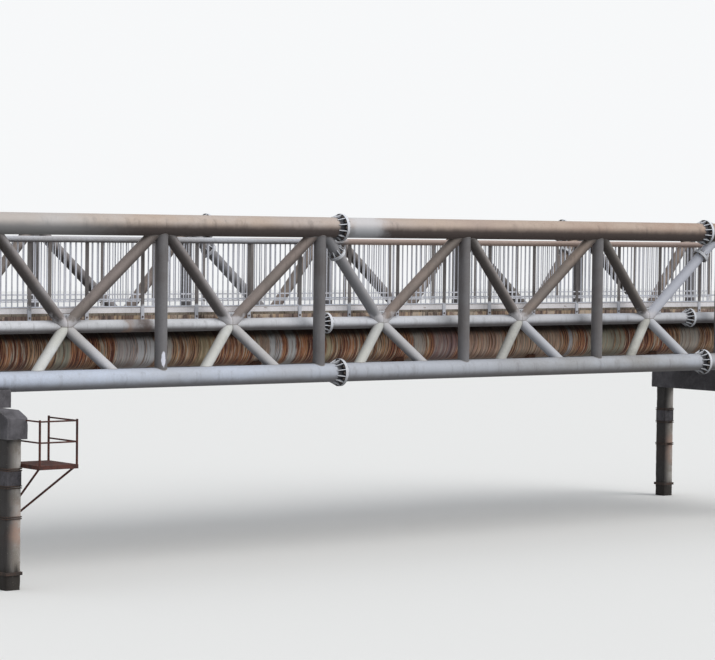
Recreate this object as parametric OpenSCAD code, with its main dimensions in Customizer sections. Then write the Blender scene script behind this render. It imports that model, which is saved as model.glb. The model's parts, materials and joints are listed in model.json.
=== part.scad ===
// Pipe bridge: two three-chord tubular trusses that carry a footway deck
// and, under it, one large pipe, on slender pile bents.
// X runs along the bridge, Y across it, Z up. The origin is at the middle of
// the outline's underside, on the level where the piles meet the water. The
// service platform on the near side widens that outline, so the bridge's own
// centre line lies a little to the far side of the origin.

/* [Bays] */
// Length of one truss bay
bay_len = 3000; // [2400:50:3600]
// Number of truss bays
bay_count = 6; // [4:1:7]
// Distance from a chord flange joint to the nearest vertical
splice_offset = 410; // [395:5:480]
// Distance from an end vertical to the flange at the end of a chord
end_offset = 520; // [500:10:600]
// Bays between the left end vertical and the left chord joint
left_splice_bays = 2; // [1:1:2]
// Bays between the right end vertical and the right chord joint
right_splice_bays = 1; // [1:1:2]

/* [Truss] */
// Distance between the two truss planes, across the bridge
truss_gap = 3750; // [3200:10:4400]
// Height from the bottom chord axis to the top chord axis
truss_h = 2307; // [2100:1:2600]
// Height from the bottom chord axis to the middle chord axis
mid_h = 776; // [700:1:850]
// How far the middle chord is set in from the truss plane
mid_inset = 355; // [310:5:420]
// How far outside the middle chord's axis the diagonals meet
node_lead = 25; // [0:5:30]
// Distance from mid-bay to the foot of a lower diagonal
lower_foot = 770; // [700:5:800]
// Outside diameter of the top chord
top_d = 323.9; // [273:0.1:355.6]
// Outside diameter of the bottom chord
bottom_d = 298.5; // [244.5:0.1:323.9]
// Outside diameter of the middle chord
mid_d = 193.7; // [168.3:0.1:219.1]
// Outside diameter of the verticals
vertical_d = 193.7; // [139.7:0.1:219.1]
// Outside diameter of the upper diagonals
upper_d = 177.8; // [139.7:0.1:193.7]
// Outside diameter of the lower diagonals
lower_d = 168.3; // [114.3:0.1:177.8]
// Wall thickness of the chords
chord_wall = 10; // [6:0.5:16]

/* [Flange joints] */
// Radial width of a flange on a top chord
top_flange_rim = 60; // [52:1:70]
// Radial width of a flange on a bottom chord
bottom_flange_rim = 72; // [52:1:74]
// Radial width of a flange on a middle chord
mid_flange_rim = 70; // [52:1:74]
// Radial width of a flange on an upper diagonal
diagonal_flange_rim = 54; // [45:1:60]
// Thickness of one flange disc
flange_t = 25; // [16:1:35]
// Ribs round a chord flange, with a bolt between each pair
rib_count = 12; // [8:1:14]
// Ribs round a flange on a diagonal
diagonal_rib_count = 8; // [6:1:10]
// Length of a rib along a chord
rib_len = 170; // [100:5:180]
// Length of a rib along a diagonal
diagonal_rib_len = 110; // [60:5:120]
// Thickness of a rib
rib_t = 12; // [8:1:16]
// Diameter of a flange bolt hole
bolt_hole_d = 22; // [18:1:26]

/* [Node gussets] */
// Height of a gusset plate, from the crotch of the diagonals up
gusset_h = 65; // [60:1:130]
// Thickness of a gusset plate
gusset_t = 12; // [8:1:16]
// Height of a gusset's hole above the crotch of the diagonals
gusset_hole_z = 37; // [32:1:40]
// Diameter of a gusset's hole
gusset_hole_d = 24; // [16:1:30]

/* [Footway] */
// Height of the walking surface above the middle chord axis
deck_rise = 191; // [170:1:240]
// Thickness of the deck boards
deck_t = 40; // [25:1:60]
// How far the deck runs past the end verticals
deck_overhang = 300; // [100:10:400]
// Width and height of a floor beam
floor_beam_w = 100; // [80:5:110]
// Flange width of a deck edge channel
edge_flange = 60; // [40:5:80]
// Plate thickness of a deck edge channel
edge_t = 8; // [6:1:12]
// Number of stringers under the deck
stringer_count = 3; // [1:1:5]
// Width of a stringer
stringer_w = 60; // [40:5:80]
// Height of the kerb strip, which stands on the ends of the boards
kerb_h = 78; // [60:2:150]
// Thickness of the kerb strip
kerb_t = 10; // [6:1:16]

/* [Railing] */
// Height of the handrail axis above the walking surface
rail_h = 1110; // [1000:10:1200]
// Outside diameter of the handrail
handrail_d = 88.9; // [60.3:0.1:101.6]
// How far the railing is set in from the truss plane
rail_inset = 515; // [512:1:560]
// Railing posts in each bay
posts_per_bay = 3; // [2:1:4]
// Width of a post along the bridge
post_w = 60; // [40:5:80]
// Thickness of a post across the bridge
post_t = 15; // [10:1:20]
// Distance between baluster centres, at most
baluster_pitch = 100; // [90:5:140]
// Width of a baluster
baluster_w = 18; // [12:1:24]
// Thickness of the railing infill
infill_t = 12; // [8:1:14]
// Height of the lower infill rail above the walking surface
low_rail_h = 175; // [150:5:200]
// Height of the second infill rail above the walking surface
second_rail_h = 275; // [250:5:350]
// Depth of an infill rail
infill_rail_h = 22; // [15:1:40]

/* [Carried pipe] */
// Outside diameter of the carried pipe
pipe_d = 609.6; // [508:0.1:620]
// Wall thickness of the carried pipe
pipe_wall = 9.5; // [6:0.5:16]
// Height of the pipe axis above the bottom chord axis
pipe_rise = 352; // [345:1:370]
// How far the pipe runs past the end verticals
pipe_overhang = 700; // [600:10:900]
// Width and height of a cross beam under the pipe
cross_beam_w = 100; // [80:5:120]
// Length of a pipe saddle along the bridge
saddle_len = 160; // [120:5:200]
// Width of a pipe saddle across the bridge
saddle_w = 420; // [300:10:480]
// Thickness of a saddle's side horns above the cross beam
saddle_h = 110; // [60:5:140]

/* [Piers] */
// Height of the bottom chord axis above the water
chord_level = 2933; // [2700:1:3500]
// Width of a cap beam along the bridge
cap_w = 340; // [300:10:450]
// Height of a cap beam
cap_h = 405; // [350:5:500]
// How far a cap beam runs out past the truss plane
cap_overhang = 870; // [800:10:1000]
// Fall of the sloped top at a cap beam's end
cap_fall = 100; // [60:5:150]
// Length of the sloped top at a cap beam's end
cap_slope_len = 240; // [160:10:320]
// Height from the top of the cap beam to the underside of the bottom chord
bearing_h = 214; // [180:1:300]
// Length of a bearing block along the bridge
bearing_len = 580; // [400:10:700]
// Width of a bearing block across the bridge
bearing_w = 360; // [320:10:420]
// How deep the bottom chord sits in the bearing block's trough
bearing_seat = 45; // [20:1:80]
// Width of a square pile
pile_w = 250; // [220:5:280]
// Width of the bevel along a pile's edges
pile_bevel = 18; // [8:1:30]
// How far the pile axis lies outside the truss plane
pile_out = 645; // [560:5:700]
// Height of the collar above the water
collar_z = 215; // [150:5:300]
// Height of the collar
collar_h = 45; // [30:5:80]
// How far the collar stands out from the pile
collar_out = 22; // [15:1:40]
// Height of the lowest pile clamp above the water
clamp_low = 1015; // [900:5:1030]
// Height of the middle pile clamp above the water
clamp_mid = 1455; // [1420:5:1500]
// Height of the top pile clamp above the water
clamp_top = 1705; // [1650:5:1705]
// Height of a pile clamp, over its two hoops
clamp_h = 42; // [34:1:60]
// Height of one hoop of a pile clamp
hoop_h = 14; // [10:1:16]
// Thickness of a pile clamp
clamp_t = 12; // [8:1:20]
// Thickness of the sheet sleeve between the two upper clamps
sleeve_t = 4; // [2:0.5:6]

/* [Service platform] */
// Height of the platform's frame top above the water
platform_level = 1800; // [1790:5:1900]
// Length of the platform along the bridge
platform_len = 650; // [500:10:900]
// Width of the platform across the bridge
platform_w = 810; // [600:10:900]
// How far the platform reaches out past the pile's outer face
platform_reach = 480; // [300:10:560]
// Thickness of the platform's floor plate
platform_plate = 8; // [5:1:12]
// Size of the platform's angle bars
angle_size = 50; // [40:5:52]
// Thickness of the platform's angle bars
angle_t = 6; // [5:1:8]
// Diameter of the platform's braces
brace_d = 32; // [20:1:40]
// Height above the water where the inner brace meets the pile
inner_brace_z = 1310; // [1100:10:1400]
// Height above the water where the outer brace meets the pile
outer_brace_z = 1110; // [1080:10:1200]
// Height of the platform's guard rail
guard_h = 650; // [600:10:1100]
// Diameter of the guard rail's posts
guard_d = 34; // [30:1:42]
// Diameter of the guard rail's bars
guard_bar_d = 24; // [16:1:26]

/* [Hidden] */

// Clearance between pieces that seat on each other
fit = 0.3;
// Gap in a bolted flange joint, for its gasket
gasket = 0.4;
// Extra length of a cutting body
cut = 1;
// Facets of a round tube
round_n = 64;

span = bay_count*bay_len;
half_span = span/2;
truss_y = truss_gap/2;
mid_y = truss_y - mid_inset;
rail_y = truss_y - rail_inset;
node_y = mid_y + node_lead;
bottom_z = chord_level;
mid_z = chord_level + mid_h;
top_z = chord_level + truss_h;
deck_z = mid_z + deck_rise;
handrail_z = deck_z + rail_h;
pipe_z = bottom_z + pipe_rise;
post_count = bay_count*posts_per_bay;
post_pitch = bay_len/posts_per_bay;
deck_half = half_span + deck_overhang;
pile_y = truss_y + pile_out;
cap_half = truss_y + cap_overhang;
platform_y0 = -pile_y - pile_w/2 - platform_reach;
// The bridge's centre line, measured from the middle of the outline
axis_y = max(0, -platform_y0 - cap_half)/2;
panel_xs = [for (i = [0:bay_count]) i*bay_len - half_span];
mid_xs = [for (i = [0:bay_count-1]) (i + 0.5)*bay_len - half_span];

// Planes where the chords are bolted together, from the left end to the right
joint_xs = [
    -half_span - end_offset,
    -half_span + left_splice_bays*bay_len + splice_offset,
    half_span - right_splice_bays*bay_len - splice_offset,
    half_span + end_offset
];
last_joint = len(joint_xs) - 1;
// Panel points whose upper diagonal crosses a chord joint and so is jointed too
left_flanged_panel = joint_xs[1] - splice_offset;
right_flanged_panel = joint_xs[2] + splice_offset;

steel_pale = [0.74, 0.76, 0.80];
steel_taupe = [0.47, 0.45, 0.43];
steel_warm = [0.66, 0.65, 0.62];
rust_brown = [0.44, 0.31, 0.24];
rust_dark = [0.25, 0.14, 0.11];
concrete_grey = [0.58, 0.57, 0.56];
deck_grey = [0.42, 0.42, 0.43];

// Places what is drawn about the bridge's centre line
module on_axis() {
    translate([0, axis_y, 0])
        children();
}

// The same, mirrored to the far side of the bridge
module on_far_side() {
    translate([0, axis_y, 0])
        mirror([0, 1, 0])
            children();
}

// Turns +Z to the line from one point to another and starts at the first
module along_line(a, b) {
    v = b - a;
    translate(a)
        rotate([0, acos(v[2]/norm(v)), atan2(v[1], v[0])])
            children();
}

// A round bar between two points
module bar(a, b, d) {
    along_line(a, b)
        cylinder(h = norm(b - a), d = d, $fn = round_n);
}

// A round body along X, as long as asked, centred on a point
module along_x(x, y, z, len, d) {
    translate([x - len/2, y, z])
        rotate([0, 90, 0])
            cylinder(h = len, d = d, $fn = round_n);
}

// A plain flange round the end of a tube: its mating face is at the origin
// and the tube goes up from there
module plain_flange(d, rim, bolts, drilled) {
    difference() {
        cylinder(h = flange_t, d = d + 2*rim, $fn = round_n);
        translate([0, 0, -cut])
            cylinder(h = flange_t + 2*cut, d = d + 2*fit, $fn = round_n);
        if (drilled)
            flange_bolt_holes(d, rim, bolts);
    }
}

// Bolt holes of a flange, one between each pair of ribs where it has ribs
module flange_bolt_holes(d, rim, bolts) {
    for (i = [0:bolts-1])
        rotate([0, 0, i*360/bolts])
            translate([d/2 + rim/2, 0, -cut])
                cylinder(h = flange_t + 2*cut, d = bolt_hole_d, $fn = round_n);
}

// A flange with ribs up the tube from its back face
module ribbed_flange(d, rim, ribs, length, drilled) {
    difference() {
        union() {
            cylinder(h = flange_t, d = d + 2*rim, $fn = round_n);
            for (i = [0:ribs-1])
                rotate([90, 0, (i + 0.5)*360/ribs])
                    translate([d/2 - rib_t, 0, -rib_t/2])
                        linear_extrude(height = rib_t)
                            rib_outline(rim, length);
        }
        translate([0, 0, -cut])
            cylinder(h = flange_t + length + 2*cut, d = d + 2*fit, $fn = round_n);
        if (drilled)
            flange_bolt_holes(d, rim, ribs);
    }
}

// A rib from inside the flange up the tube: its foot stands on the flange
module rib_outline(rim, length) {
    foot = rim - rib_t/2;
    polygon([
        [0, flange_t/2],
        [rib_t + foot, flange_t/2],
        [rib_t + foot, flange_t + rib_t/2],
        [2*rib_t, flange_t + length],
        [0, flange_t + length]
    ]);
}

// A chord in bolted lengths of open tube
module chord(y, z, d) {
    for (i = [0:last_joint-1])
        difference() {
            translate([joint_xs[i] + gasket/2, y, z])
                rotate([0, 90, 0])
                    cylinder(h = joint_xs[i+1] - joint_xs[i] - gasket, d = d, $fn = round_n);
            along_x(0, y, z, 2*(half_span + end_offset) + 2*cut, d - 2*chord_wall);
        }
}

// The flanges of one chord: a pair at each joint, and one at each end. Only
// the left flange of a pair is ribbed.
module chord_flanges(y, z, d, rim) {
    for (i = [0:last_joint]) {
        if (i < last_joint)
            translate([joint_xs[i] + gasket/2, y, z])
                rotate([0, 90, 0])
                    plain_flange(d, rim, rib_count, i == 0);
        if (i > 0)
            translate([joint_xs[i] - gasket/2, y, z])
                rotate([0, -90, 0])
                    ribbed_flange(d, rim, rib_count, rib_len, i == last_joint);
    }
}

// Flanges of all three chords, trimmed where a jointed diagonal passes them
module truss_flanges() {
    difference() {
        union() {
            chord_flanges(-truss_y, top_z, top_d, top_flange_rim);
            chord_flanges(-mid_y, mid_z, mid_d, mid_flange_rim);
            chord_flanges(-truss_y, bottom_z, bottom_d, bottom_flange_rim);
        }
        upper_diagonal_axis(left_flanged_panel, 1, upper_d + 2*fit);
        upper_diagonal_axis(right_flanged_panel, -1, upper_d + 2*fit);
        lower_diagonal_axis(left_flanged_panel + bay_len/2, -1, lower_d + 2*fit);
        lower_diagonal_axis(right_flanged_panel - bay_len/2, 1, lower_d + 2*fit);
    }
}

// Verticals, coped to the top and bottom chords
module verticals() {
    for (x = panel_xs)
        difference() {
            translate([x, -truss_y, bottom_z])
                cylinder(h = truss_h, d = vertical_d, $fn = round_n);
            along_x(x, -truss_y, bottom_z, 2*vertical_d, bottom_d + 2*fit);
            along_x(x, -truss_y, top_z, 2*vertical_d, top_d + 2*fit);
        }
}

// Ends of an upper diagonal's axis, and the point on it where it is jointed
function panel_point(x) = [x, -truss_y, top_z];
function node_point(x) = [x, -node_y, mid_z];
function joint_point(x, lean) =
    panel_point(x) + (node_point(x + lean*bay_len/2) - panel_point(x))*splice_offset/(bay_len/2);

// A whole upper diagonal as a plain bar, leaning right or left of its panel
module upper_diagonal_axis(x, lean, d) {
    bar(panel_point(x), node_point(x + lean*bay_len/2), d);
}

// One upper diagonal from a top panel point to the node at mid-bay, coped to
// both chords and to the vertical, and mitred on its neighbours. A jointed one
// is cut by the joint.
module upper_diagonal(x, lean, jointed) {
    x_mid = x + lean*bay_len/2;
    difference() {
        upper_diagonal_axis(x, lean, upper_d);
        along_x(x, -truss_y, top_z, 3*upper_d, top_d + 2*fit);
        translate([x, -truss_y, bottom_z])
            cylinder(h = truss_h, d = vertical_d + 2*fit, $fn = round_n);
        along_x(x_mid, -mid_y, mid_z, 4*upper_d, mid_d + 2*fit);
        translate([x_mid + (lean > 0 ? -fit/2 : fit/2 - 2*upper_d), -node_y - upper_d, mid_z - upper_d])
            cube([2*upper_d, 2*upper_d, 4*upper_d]);
        translate([x_mid - 2*upper_d, -node_y - 2*upper_d, mid_z - 2*upper_d + fit/2])
            cube([4*upper_d, 4*upper_d, 2*upper_d]);
        if (jointed)
            along_line(joint_point(x, lean), node_point(x_mid))
                translate([0, 0, -gasket/2])
                    cylinder(h = gasket, d = 2*upper_d, $fn = round_n);
    }
}

// The flange pair of a jointed diagonal, square to its slope. The upper one
// is ribbed.
module diagonal_flange_pair(x, lean) {
    along_line(joint_point(x, lean), node_point(x + lean*bay_len/2))
        translate([0, 0, gasket/2])
            plain_flange(upper_d, diagonal_flange_rim, diagonal_rib_count, false);
    along_line(joint_point(x, lean), panel_point(x))
        translate([0, 0, gasket/2])
            ribbed_flange(upper_d, diagonal_flange_rim, diagonal_rib_count, diagonal_rib_len, false);
}

// A whole lower diagonal as a plain bar, leaning right or left of its node
module lower_diagonal_axis(x_mid, lean, d) {
    bar(node_point(x_mid), [x_mid + lean*lower_foot, -truss_y, bottom_z], d);
}

// One lower diagonal from the node at mid-bay down to the bottom chord
module lower_diagonal(x_mid, lean) {
    difference() {
        lower_diagonal_axis(x_mid, lean, lower_d);
        along_x(x_mid, -mid_y, mid_z, 4*lower_d, mid_d + 2*fit);
        along_x(x_mid + lean*lower_foot, -truss_y, bottom_z, 5*lower_d, bottom_d + 2*fit);
        translate([x_mid + (lean > 0 ? fit/2 - 2*lower_d : -fit/2), -node_y - 2*lower_d, mid_z - 3*lower_d])
            cube([2*lower_d, 4*lower_d, 4*lower_d]);
        translate([x_mid - 2*lower_d, -node_y - 2*lower_d, mid_z - fit/2])
            cube([4*lower_d, 4*lower_d, 2*lower_d]);
    }
}

// Gusset plates in the crotch of the upper diagonals, one above each node
module node_gussets() {
    lean = atan((truss_y - node_y)/(top_z - mid_z));
    spread = atan(bay_len/2*cos(lean)/(top_z - mid_z));
    crotch = (upper_d/2 + fit)/sin(spread);
    top = crotch + gusset_h;
    half_w = gusset_h*tan(spread);
    for (x = mid_xs)
        translate(node_point(x))
            rotate([lean + 90, 0, 0])
                translate([0, 0, -gusset_t/2])
                    linear_extrude(height = gusset_t)
                        difference() {
                            polygon([[0, crotch], [half_w, top], [-half_w, top]]);
                            translate([0, crotch + gusset_hole_z])
                                circle(d = gusset_hole_d, $fn = round_n);
                        }
}

module rising_diagonals() {
    for (x = mid_xs)
        upper_diagonal(x + bay_len/2, -1, x + bay_len/2 == right_flanged_panel);
}

module falling_diagonals() {
    for (x = mid_xs)
        upper_diagonal(x - bay_len/2, 1, x - bay_len/2 == left_flanged_panel);
}

module lower_diagonals(lean) {
    for (x = mid_xs)
        lower_diagonal(x, lean);
}

module diagonal_flanges() {
    diagonal_flange_pair(left_flanged_panel, 1);
    diagonal_flange_pair(right_flanged_panel, -1);
}

module near_top_chord() { color(steel_pale) on_axis() chord(-truss_y, top_z, top_d); }
module near_mid_chord() { color(steel_pale) on_axis() chord(-mid_y, mid_z, mid_d); }
module near_bottom_chord() { color(steel_pale) on_axis() chord(-truss_y, bottom_z, bottom_d); }
module near_chord_flanges() { color(steel_pale) on_axis() truss_flanges(); }
module near_verticals() { color(steel_taupe) on_axis() verticals(); }
module near_rising_diagonals() { color(steel_taupe) on_axis() rising_diagonals(); }
module near_falling_diagonals() { color(steel_taupe) on_axis() falling_diagonals(); }
module near_lower_left_diagonals() { color(steel_warm) on_axis() lower_diagonals(-1); }
module near_lower_right_diagonals() { color(steel_warm) on_axis() lower_diagonals(1); }
module near_diagonal_flanges() { color(steel_pale) on_axis() diagonal_flanges(); }
module near_node_gussets() { color(steel_warm) on_axis() node_gussets(); }

module far_top_chord() { color(steel_pale) on_far_side() chord(-truss_y, top_z, top_d); }
module far_mid_chord() { color(steel_pale) on_far_side() chord(-mid_y, mid_z, mid_d); }
module far_bottom_chord() { color(steel_pale) on_far_side() chord(-truss_y, bottom_z, bottom_d); }
module far_chord_flanges() { color(steel_pale) on_far_side() truss_flanges(); }
module far_verticals() { color(steel_taupe) on_far_side() verticals(); }
module far_rising_diagonals() { color(steel_taupe) on_far_side() rising_diagonals(); }
module far_falling_diagonals() { color(steel_taupe) on_far_side() falling_diagonals(); }
module far_lower_left_diagonals() { color(steel_warm) on_far_side() lower_diagonals(-1); }
module far_lower_right_diagonals() { color(steel_warm) on_far_side() lower_diagonals(1); }
module far_diagonal_flanges() { color(steel_pale) on_far_side() diagonal_flanges(); }
module far_node_gussets() { color(steel_warm) on_far_side() node_gussets(); }

// Outer face of the edge channels and kerbs, which the posts stand against
edge_y = rail_y - post_t/2 - fit;
beam_top = mid_z + floor_beam_w/2;

module deck_boards() {
    color(deck_grey)
        on_axis()
            translate([-deck_half, -edge_y, deck_z - deck_t])
                cube([2*deck_half, 2*edge_y, deck_t]);
}

// Edge channel, its web outwards and its flanges under the deck
module edge_channel() {
    height = deck_z - deck_t - beam_top - 2*fit;
    translate([-deck_half, -edge_y, beam_top + fit])
        difference() {
            cube([2*deck_half, edge_flange, height]);
            translate([-cut, edge_t, edge_t])
                cube([2*deck_half + 2*cut, edge_flange, height - 2*edge_t]);
        }
}

module edge_channels() {
    color(rust_brown) {
        on_axis() edge_channel();
        on_far_side() edge_channel();
    }
}

// Stringers between the floor beams and the deck boards
module stringers() {
    pitch = 2*(edge_y - edge_flange)/(stringer_count + 1);
    color(steel_warm)
        on_axis()
            for (i = [1:stringer_count])
                translate([-deck_half, (i - (stringer_count + 1)/2)*pitch - stringer_w/2, beam_top + fit])
                    cube([2*deck_half, stringer_w, deck_z - deck_t - beam_top - 2*fit]);
}

// Kerb strip along the edge of the deck, standing in front of the ends of the boards
module kerb() {
    translate([-deck_half, -edge_y, deck_z])
        cube([2*deck_half, kerb_t, kerb_h]);
}

module kerbs() {
    color(steel_pale) {
        on_axis() kerb();
        on_far_side() kerb();
    }
}

// Floor beams between the middle chords, at every node and vertical
module floor_beams() {
    color(steel_warm)
        on_axis()
            for (i = [0:2*bay_count])
                difference() {
                    translate([i*bay_len/2 - half_span - floor_beam_w/2, -mid_y, mid_z - floor_beam_w/2])
                        cube([floor_beam_w, 2*mid_y, floor_beam_w]);
                    for (side = [-1, 1])
                        along_x(i*bay_len/2 - half_span, side*mid_y, mid_z, 2*floor_beam_w, mid_d + 2*fit);
                }
}

module handrail() {
    color(steel_pale)
        along_x(0, -rail_y, handrail_z, 2*deck_half, handrail_d);
}

module near_handrail() { on_axis() handrail(); }
module far_handrail() { on_far_side() handrail(); }

// Railing posts, from the foot of the edge channel up to the handrail
module railing_posts() {
    color(steel_taupe)
        for (i = [0:post_count])
            difference() {
                translate([i*post_pitch - half_span - post_w/2, -rail_y - post_t/2, beam_top + fit])
                    cube([post_w, post_t, handrail_z - beam_top - fit]);
                along_x(i*post_pitch - half_span, -rail_y, handrail_z, 2*post_w, handrail_d + 2*fit);
            }
}

module near_railing_posts() { on_axis() railing_posts(); }
module far_railing_posts() { on_far_side() railing_posts(); }

// One comb of balusters and its two rails, flat in X and Z
module infill_outline(width, height) {
    bars = ceil((width + post_w)/baluster_pitch) - 1;
    step = (width + post_w)/(bars + 1);
    square([width, infill_rail_h]);
    translate([0, second_rail_h - low_rail_h])
        square([width, infill_rail_h]);
    for (i = [1:bars])
        translate([i*step - post_w/2 - baluster_w/2, 0])
            square([baluster_w, height]);
}

// Infill panels between the posts, their balusters coped to the handrail
module railing_infill() {
    width = post_pitch - post_w - 2*fit;
    foot_z = deck_z + low_rail_h;
    color(steel_pale)
        for (i = [0:post_count-1])
            difference() {
                translate([i*post_pitch - half_span + post_w/2 + fit, -rail_y + infill_t/2, foot_z])
                    rotate([90, 0, 0])
                        linear_extrude(height = infill_t)
                            infill_outline(width, handrail_z - foot_z);
                along_x((i + 0.5)*post_pitch - half_span, -rail_y, handrail_z, post_pitch, handrail_d + 2*fit);
            }
}

module near_railing_infill() { on_axis() railing_infill(); }
module far_railing_infill() { on_far_side() railing_infill(); }

module carried_pipe() {
    pipe_len = 2*(half_span + pipe_overhang);
    color(rust_brown)
        on_axis()
            difference() {
                along_x(0, 0, pipe_z, pipe_len, pipe_d);
                along_x(0, 0, pipe_z, pipe_len + 2*cut, pipe_d - 2*pipe_wall);
            }
}

// Cross beams between the bottom chords, their tops level with the chord axes
module cross_beams() {
    color(steel_warm)
        on_axis()
            for (x = panel_xs)
                difference() {
                    translate([x - cross_beam_w/2, -truss_y, bottom_z - cross_beam_w])
                        cube([cross_beam_w, 2*truss_y, cross_beam_w]);
                    for (side = [-1, 1])
                        along_x(x, side*truss_y, bottom_z, 2*cross_beam_w, bottom_d + 2*fit);
                }
}

// Saddles that hold the pipe on the cross beams
module pipe_saddles() {
    color(rust_dark)
        on_axis()
            for (x = panel_xs)
                difference() {
                    translate([x - saddle_len/2, -saddle_w/2, bottom_z + fit])
                        cube([saddle_len, saddle_w, saddle_h]);
                    along_x(x, 0, pipe_z, 2*saddle_len, pipe_d + 2*fit);
                }
}

cap_top = bottom_z - bottom_d/2 - bearing_h;
cap_foot = cap_top - cap_h;

// A cap beam across the bridge, with a sloped top at each end
module cap_beam(x) {
    color(concrete_grey)
        on_axis()
            translate([x + cap_w/2, 0, cap_foot])
                rotate([90, 0, -90])
                    linear_extrude(height = cap_w)
                        polygon([
                            [-cap_half, 0],
                            [cap_half, 0],
                            [cap_half, cap_h - cap_fall],
                            [cap_half - cap_slope_len, cap_h],
                            [-cap_half + cap_slope_len, cap_h],
                            [-cap_half, cap_h - cap_fall]
                        ]);
}

module left_cap_beam() { cap_beam(-half_span); }
module right_cap_beam() { cap_beam(half_span); }

// Outline of a square pile with bevelled edges
module pile_outline(w, bevel) {
    half = w/2;
    polygon([
        [half - bevel, -half], [half, -half + bevel],
        [half, half - bevel], [half - bevel, half],
        [-half + bevel, half], [-half, half - bevel],
        [-half, -half + bevel], [-half + bevel, -half]
    ]);
}

module piles(x) {
    color(concrete_grey)
        on_axis()
            for (side = [-1, 1])
                translate([x, side*pile_y, 0])
                    linear_extrude(height = cap_foot - fit)
                        pile_outline(pile_w, pile_bevel);
}

module left_piles() { piles(-half_span); }
module right_piles() { piles(half_span); }

// A band round a pile
module pile_band(x, y, z, height, thickness) {
    translate([x, y, z])
        linear_extrude(height = height)
            difference() {
                pile_outline(pile_w + 2*thickness + 2*fit, pile_bevel);
                pile_outline(pile_w + 2*fit, pile_bevel);
            }
}

module pile_collars() {
    color(rust_dark)
        on_axis()
            for (x = [-half_span, half_span], side = [-1, 1])
                pile_band(x, side*pile_y, collar_z, collar_h, collar_out);
}

// Pile clamps, each of two hoops one above the other
module pile_clamps() {
    color(rust_dark)
        on_axis()
            for (x = [-half_span, half_span], side = [-1, 1], z = [clamp_low, clamp_mid, clamp_top])
                for (foot = [z, z + clamp_h - hoop_h])
                    pile_band(x, side*pile_y, foot, hoop_h, clamp_t);
}

// Sheet sleeves round the piles, between the two upper clamps
module pile_sleeves() {
    foot = clamp_mid + clamp_h + fit;
    color(rust_dark)
        on_axis()
            for (x = [-half_span, half_span], side = [-1, 1])
                pile_band(x, side*pile_y, foot, clamp_top - fit - foot, sleeve_t);
}

// Concrete blocks on the cap beams, with a trough for the bottom chord
module bearing_blocks() {
    color(concrete_grey)
        on_axis()
            for (x = [-half_span, half_span], side = [-1, 1])
                difference() {
                    translate([x - bearing_len/2, side*truss_y - bearing_w/2, cap_top + fit])
                        cube([bearing_len, bearing_w, bearing_h + bearing_seat]);
                    along_x(x, side*truss_y, bottom_z, 2*bearing_len, bottom_d + 2*fit);
                }
}

// Sides of the service platform, which stands against the left near pile
platform_x0 = -half_span + pile_w/2 + fit;
platform_x1 = platform_x0 + platform_len;
platform_y1 = platform_y0 + platform_w;
guard_foot = platform_level + platform_plate + fit;

// An angle bar along X with its corner at the origin, legs towards +Y and -Z
module angle_bar(len) {
    rotate([90, 0, 90])
        linear_extrude(height = len)
            polygon([
                [0, 0], [angle_size, 0], [angle_size, -angle_t],
                [angle_t, -angle_t], [angle_t, -angle_size], [0, -angle_size]
            ]);
}

// Floor plate of the service platform on its frame of angle bars
module platform_floor() {
    color(rust_dark)
        on_axis()
            translate([platform_x0, platform_y0, platform_level]) {
                cube([platform_len, platform_w, platform_plate]);
                angle_bar(platform_len);
                translate([0, platform_w, 0])
                    mirror([0, 1, 0])
                        angle_bar(platform_len);
                translate([0, platform_w, 0])
                    rotate([0, 0, -90])
                        angle_bar(platform_w);
                translate([platform_len, 0, 0])
                    rotate([0, 0, 90])
                        angle_bar(platform_w);
            }
}

// Corner posts of the guard rail: outer left, outer right and inner right
guard_corners = [
    [platform_x0 + guard_d/2, platform_y0 + guard_d/2],
    [platform_x1 - guard_d/2, platform_y0 + guard_d/2],
    [platform_x1 - guard_d/2, platform_y1 - guard_d/2]
];

module guard_posts(d) {
    for (p = guard_corners)
        translate([p[0], p[1], guard_foot])
            cylinder(h = guard_h, d = d, $fn = round_n);
}

// Guard rail of the service platform: posts with two rails between them. The
// left rails run back to the end of the cap beam and to the side of the pile.
module platform_guard_rail() {
    low_z = guard_foot + guard_h/2;
    high_z = guard_foot + guard_h - guard_bar_d;
    first = guard_corners[0];
    color(rust_dark)
        on_axis() {
            guard_posts(guard_d);
            difference() {
                union() {
                    for (i = [0:1], z = [low_z, high_z])
                        bar(concat(guard_corners[i], z), concat(guard_corners[i+1], z), guard_bar_d);
                    bar(concat(first, high_z), [first[0], -cap_half - fit, high_z], guard_bar_d);
                    bar(concat(first, low_z), [first[0], -pile_y, low_z], guard_bar_d);
                }
                guard_posts(guard_d + 2*fit);
            }
        }
}

// One brace from under a platform corner down to the side of the pile
module platform_brace(x, z) {
    top = platform_level - angle_size - fit;
    pile_side = -half_span + pile_w/2;
    difference() {
        bar([x, platform_y0 + brace_d, top + brace_d],
            [pile_side, -pile_y, z - brace_d], brace_d);
        translate([platform_x0 - pile_w, platform_y0 - pile_w, top])
            cube([platform_len + 2*pile_w, platform_w + 2*pile_w, pile_w]);
        translate([pile_side - pile_w, -pile_y - pile_w, 0])
            cube([pile_w + fit, 2*pile_w, cap_foot]);
    }
}

module platform_braces() {
    color(rust_dark)
        on_axis() {
            platform_brace(platform_x0 + brace_d, inner_brace_z);
            platform_brace(platform_x1 - brace_d, outer_brace_z);
        }
}

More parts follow.
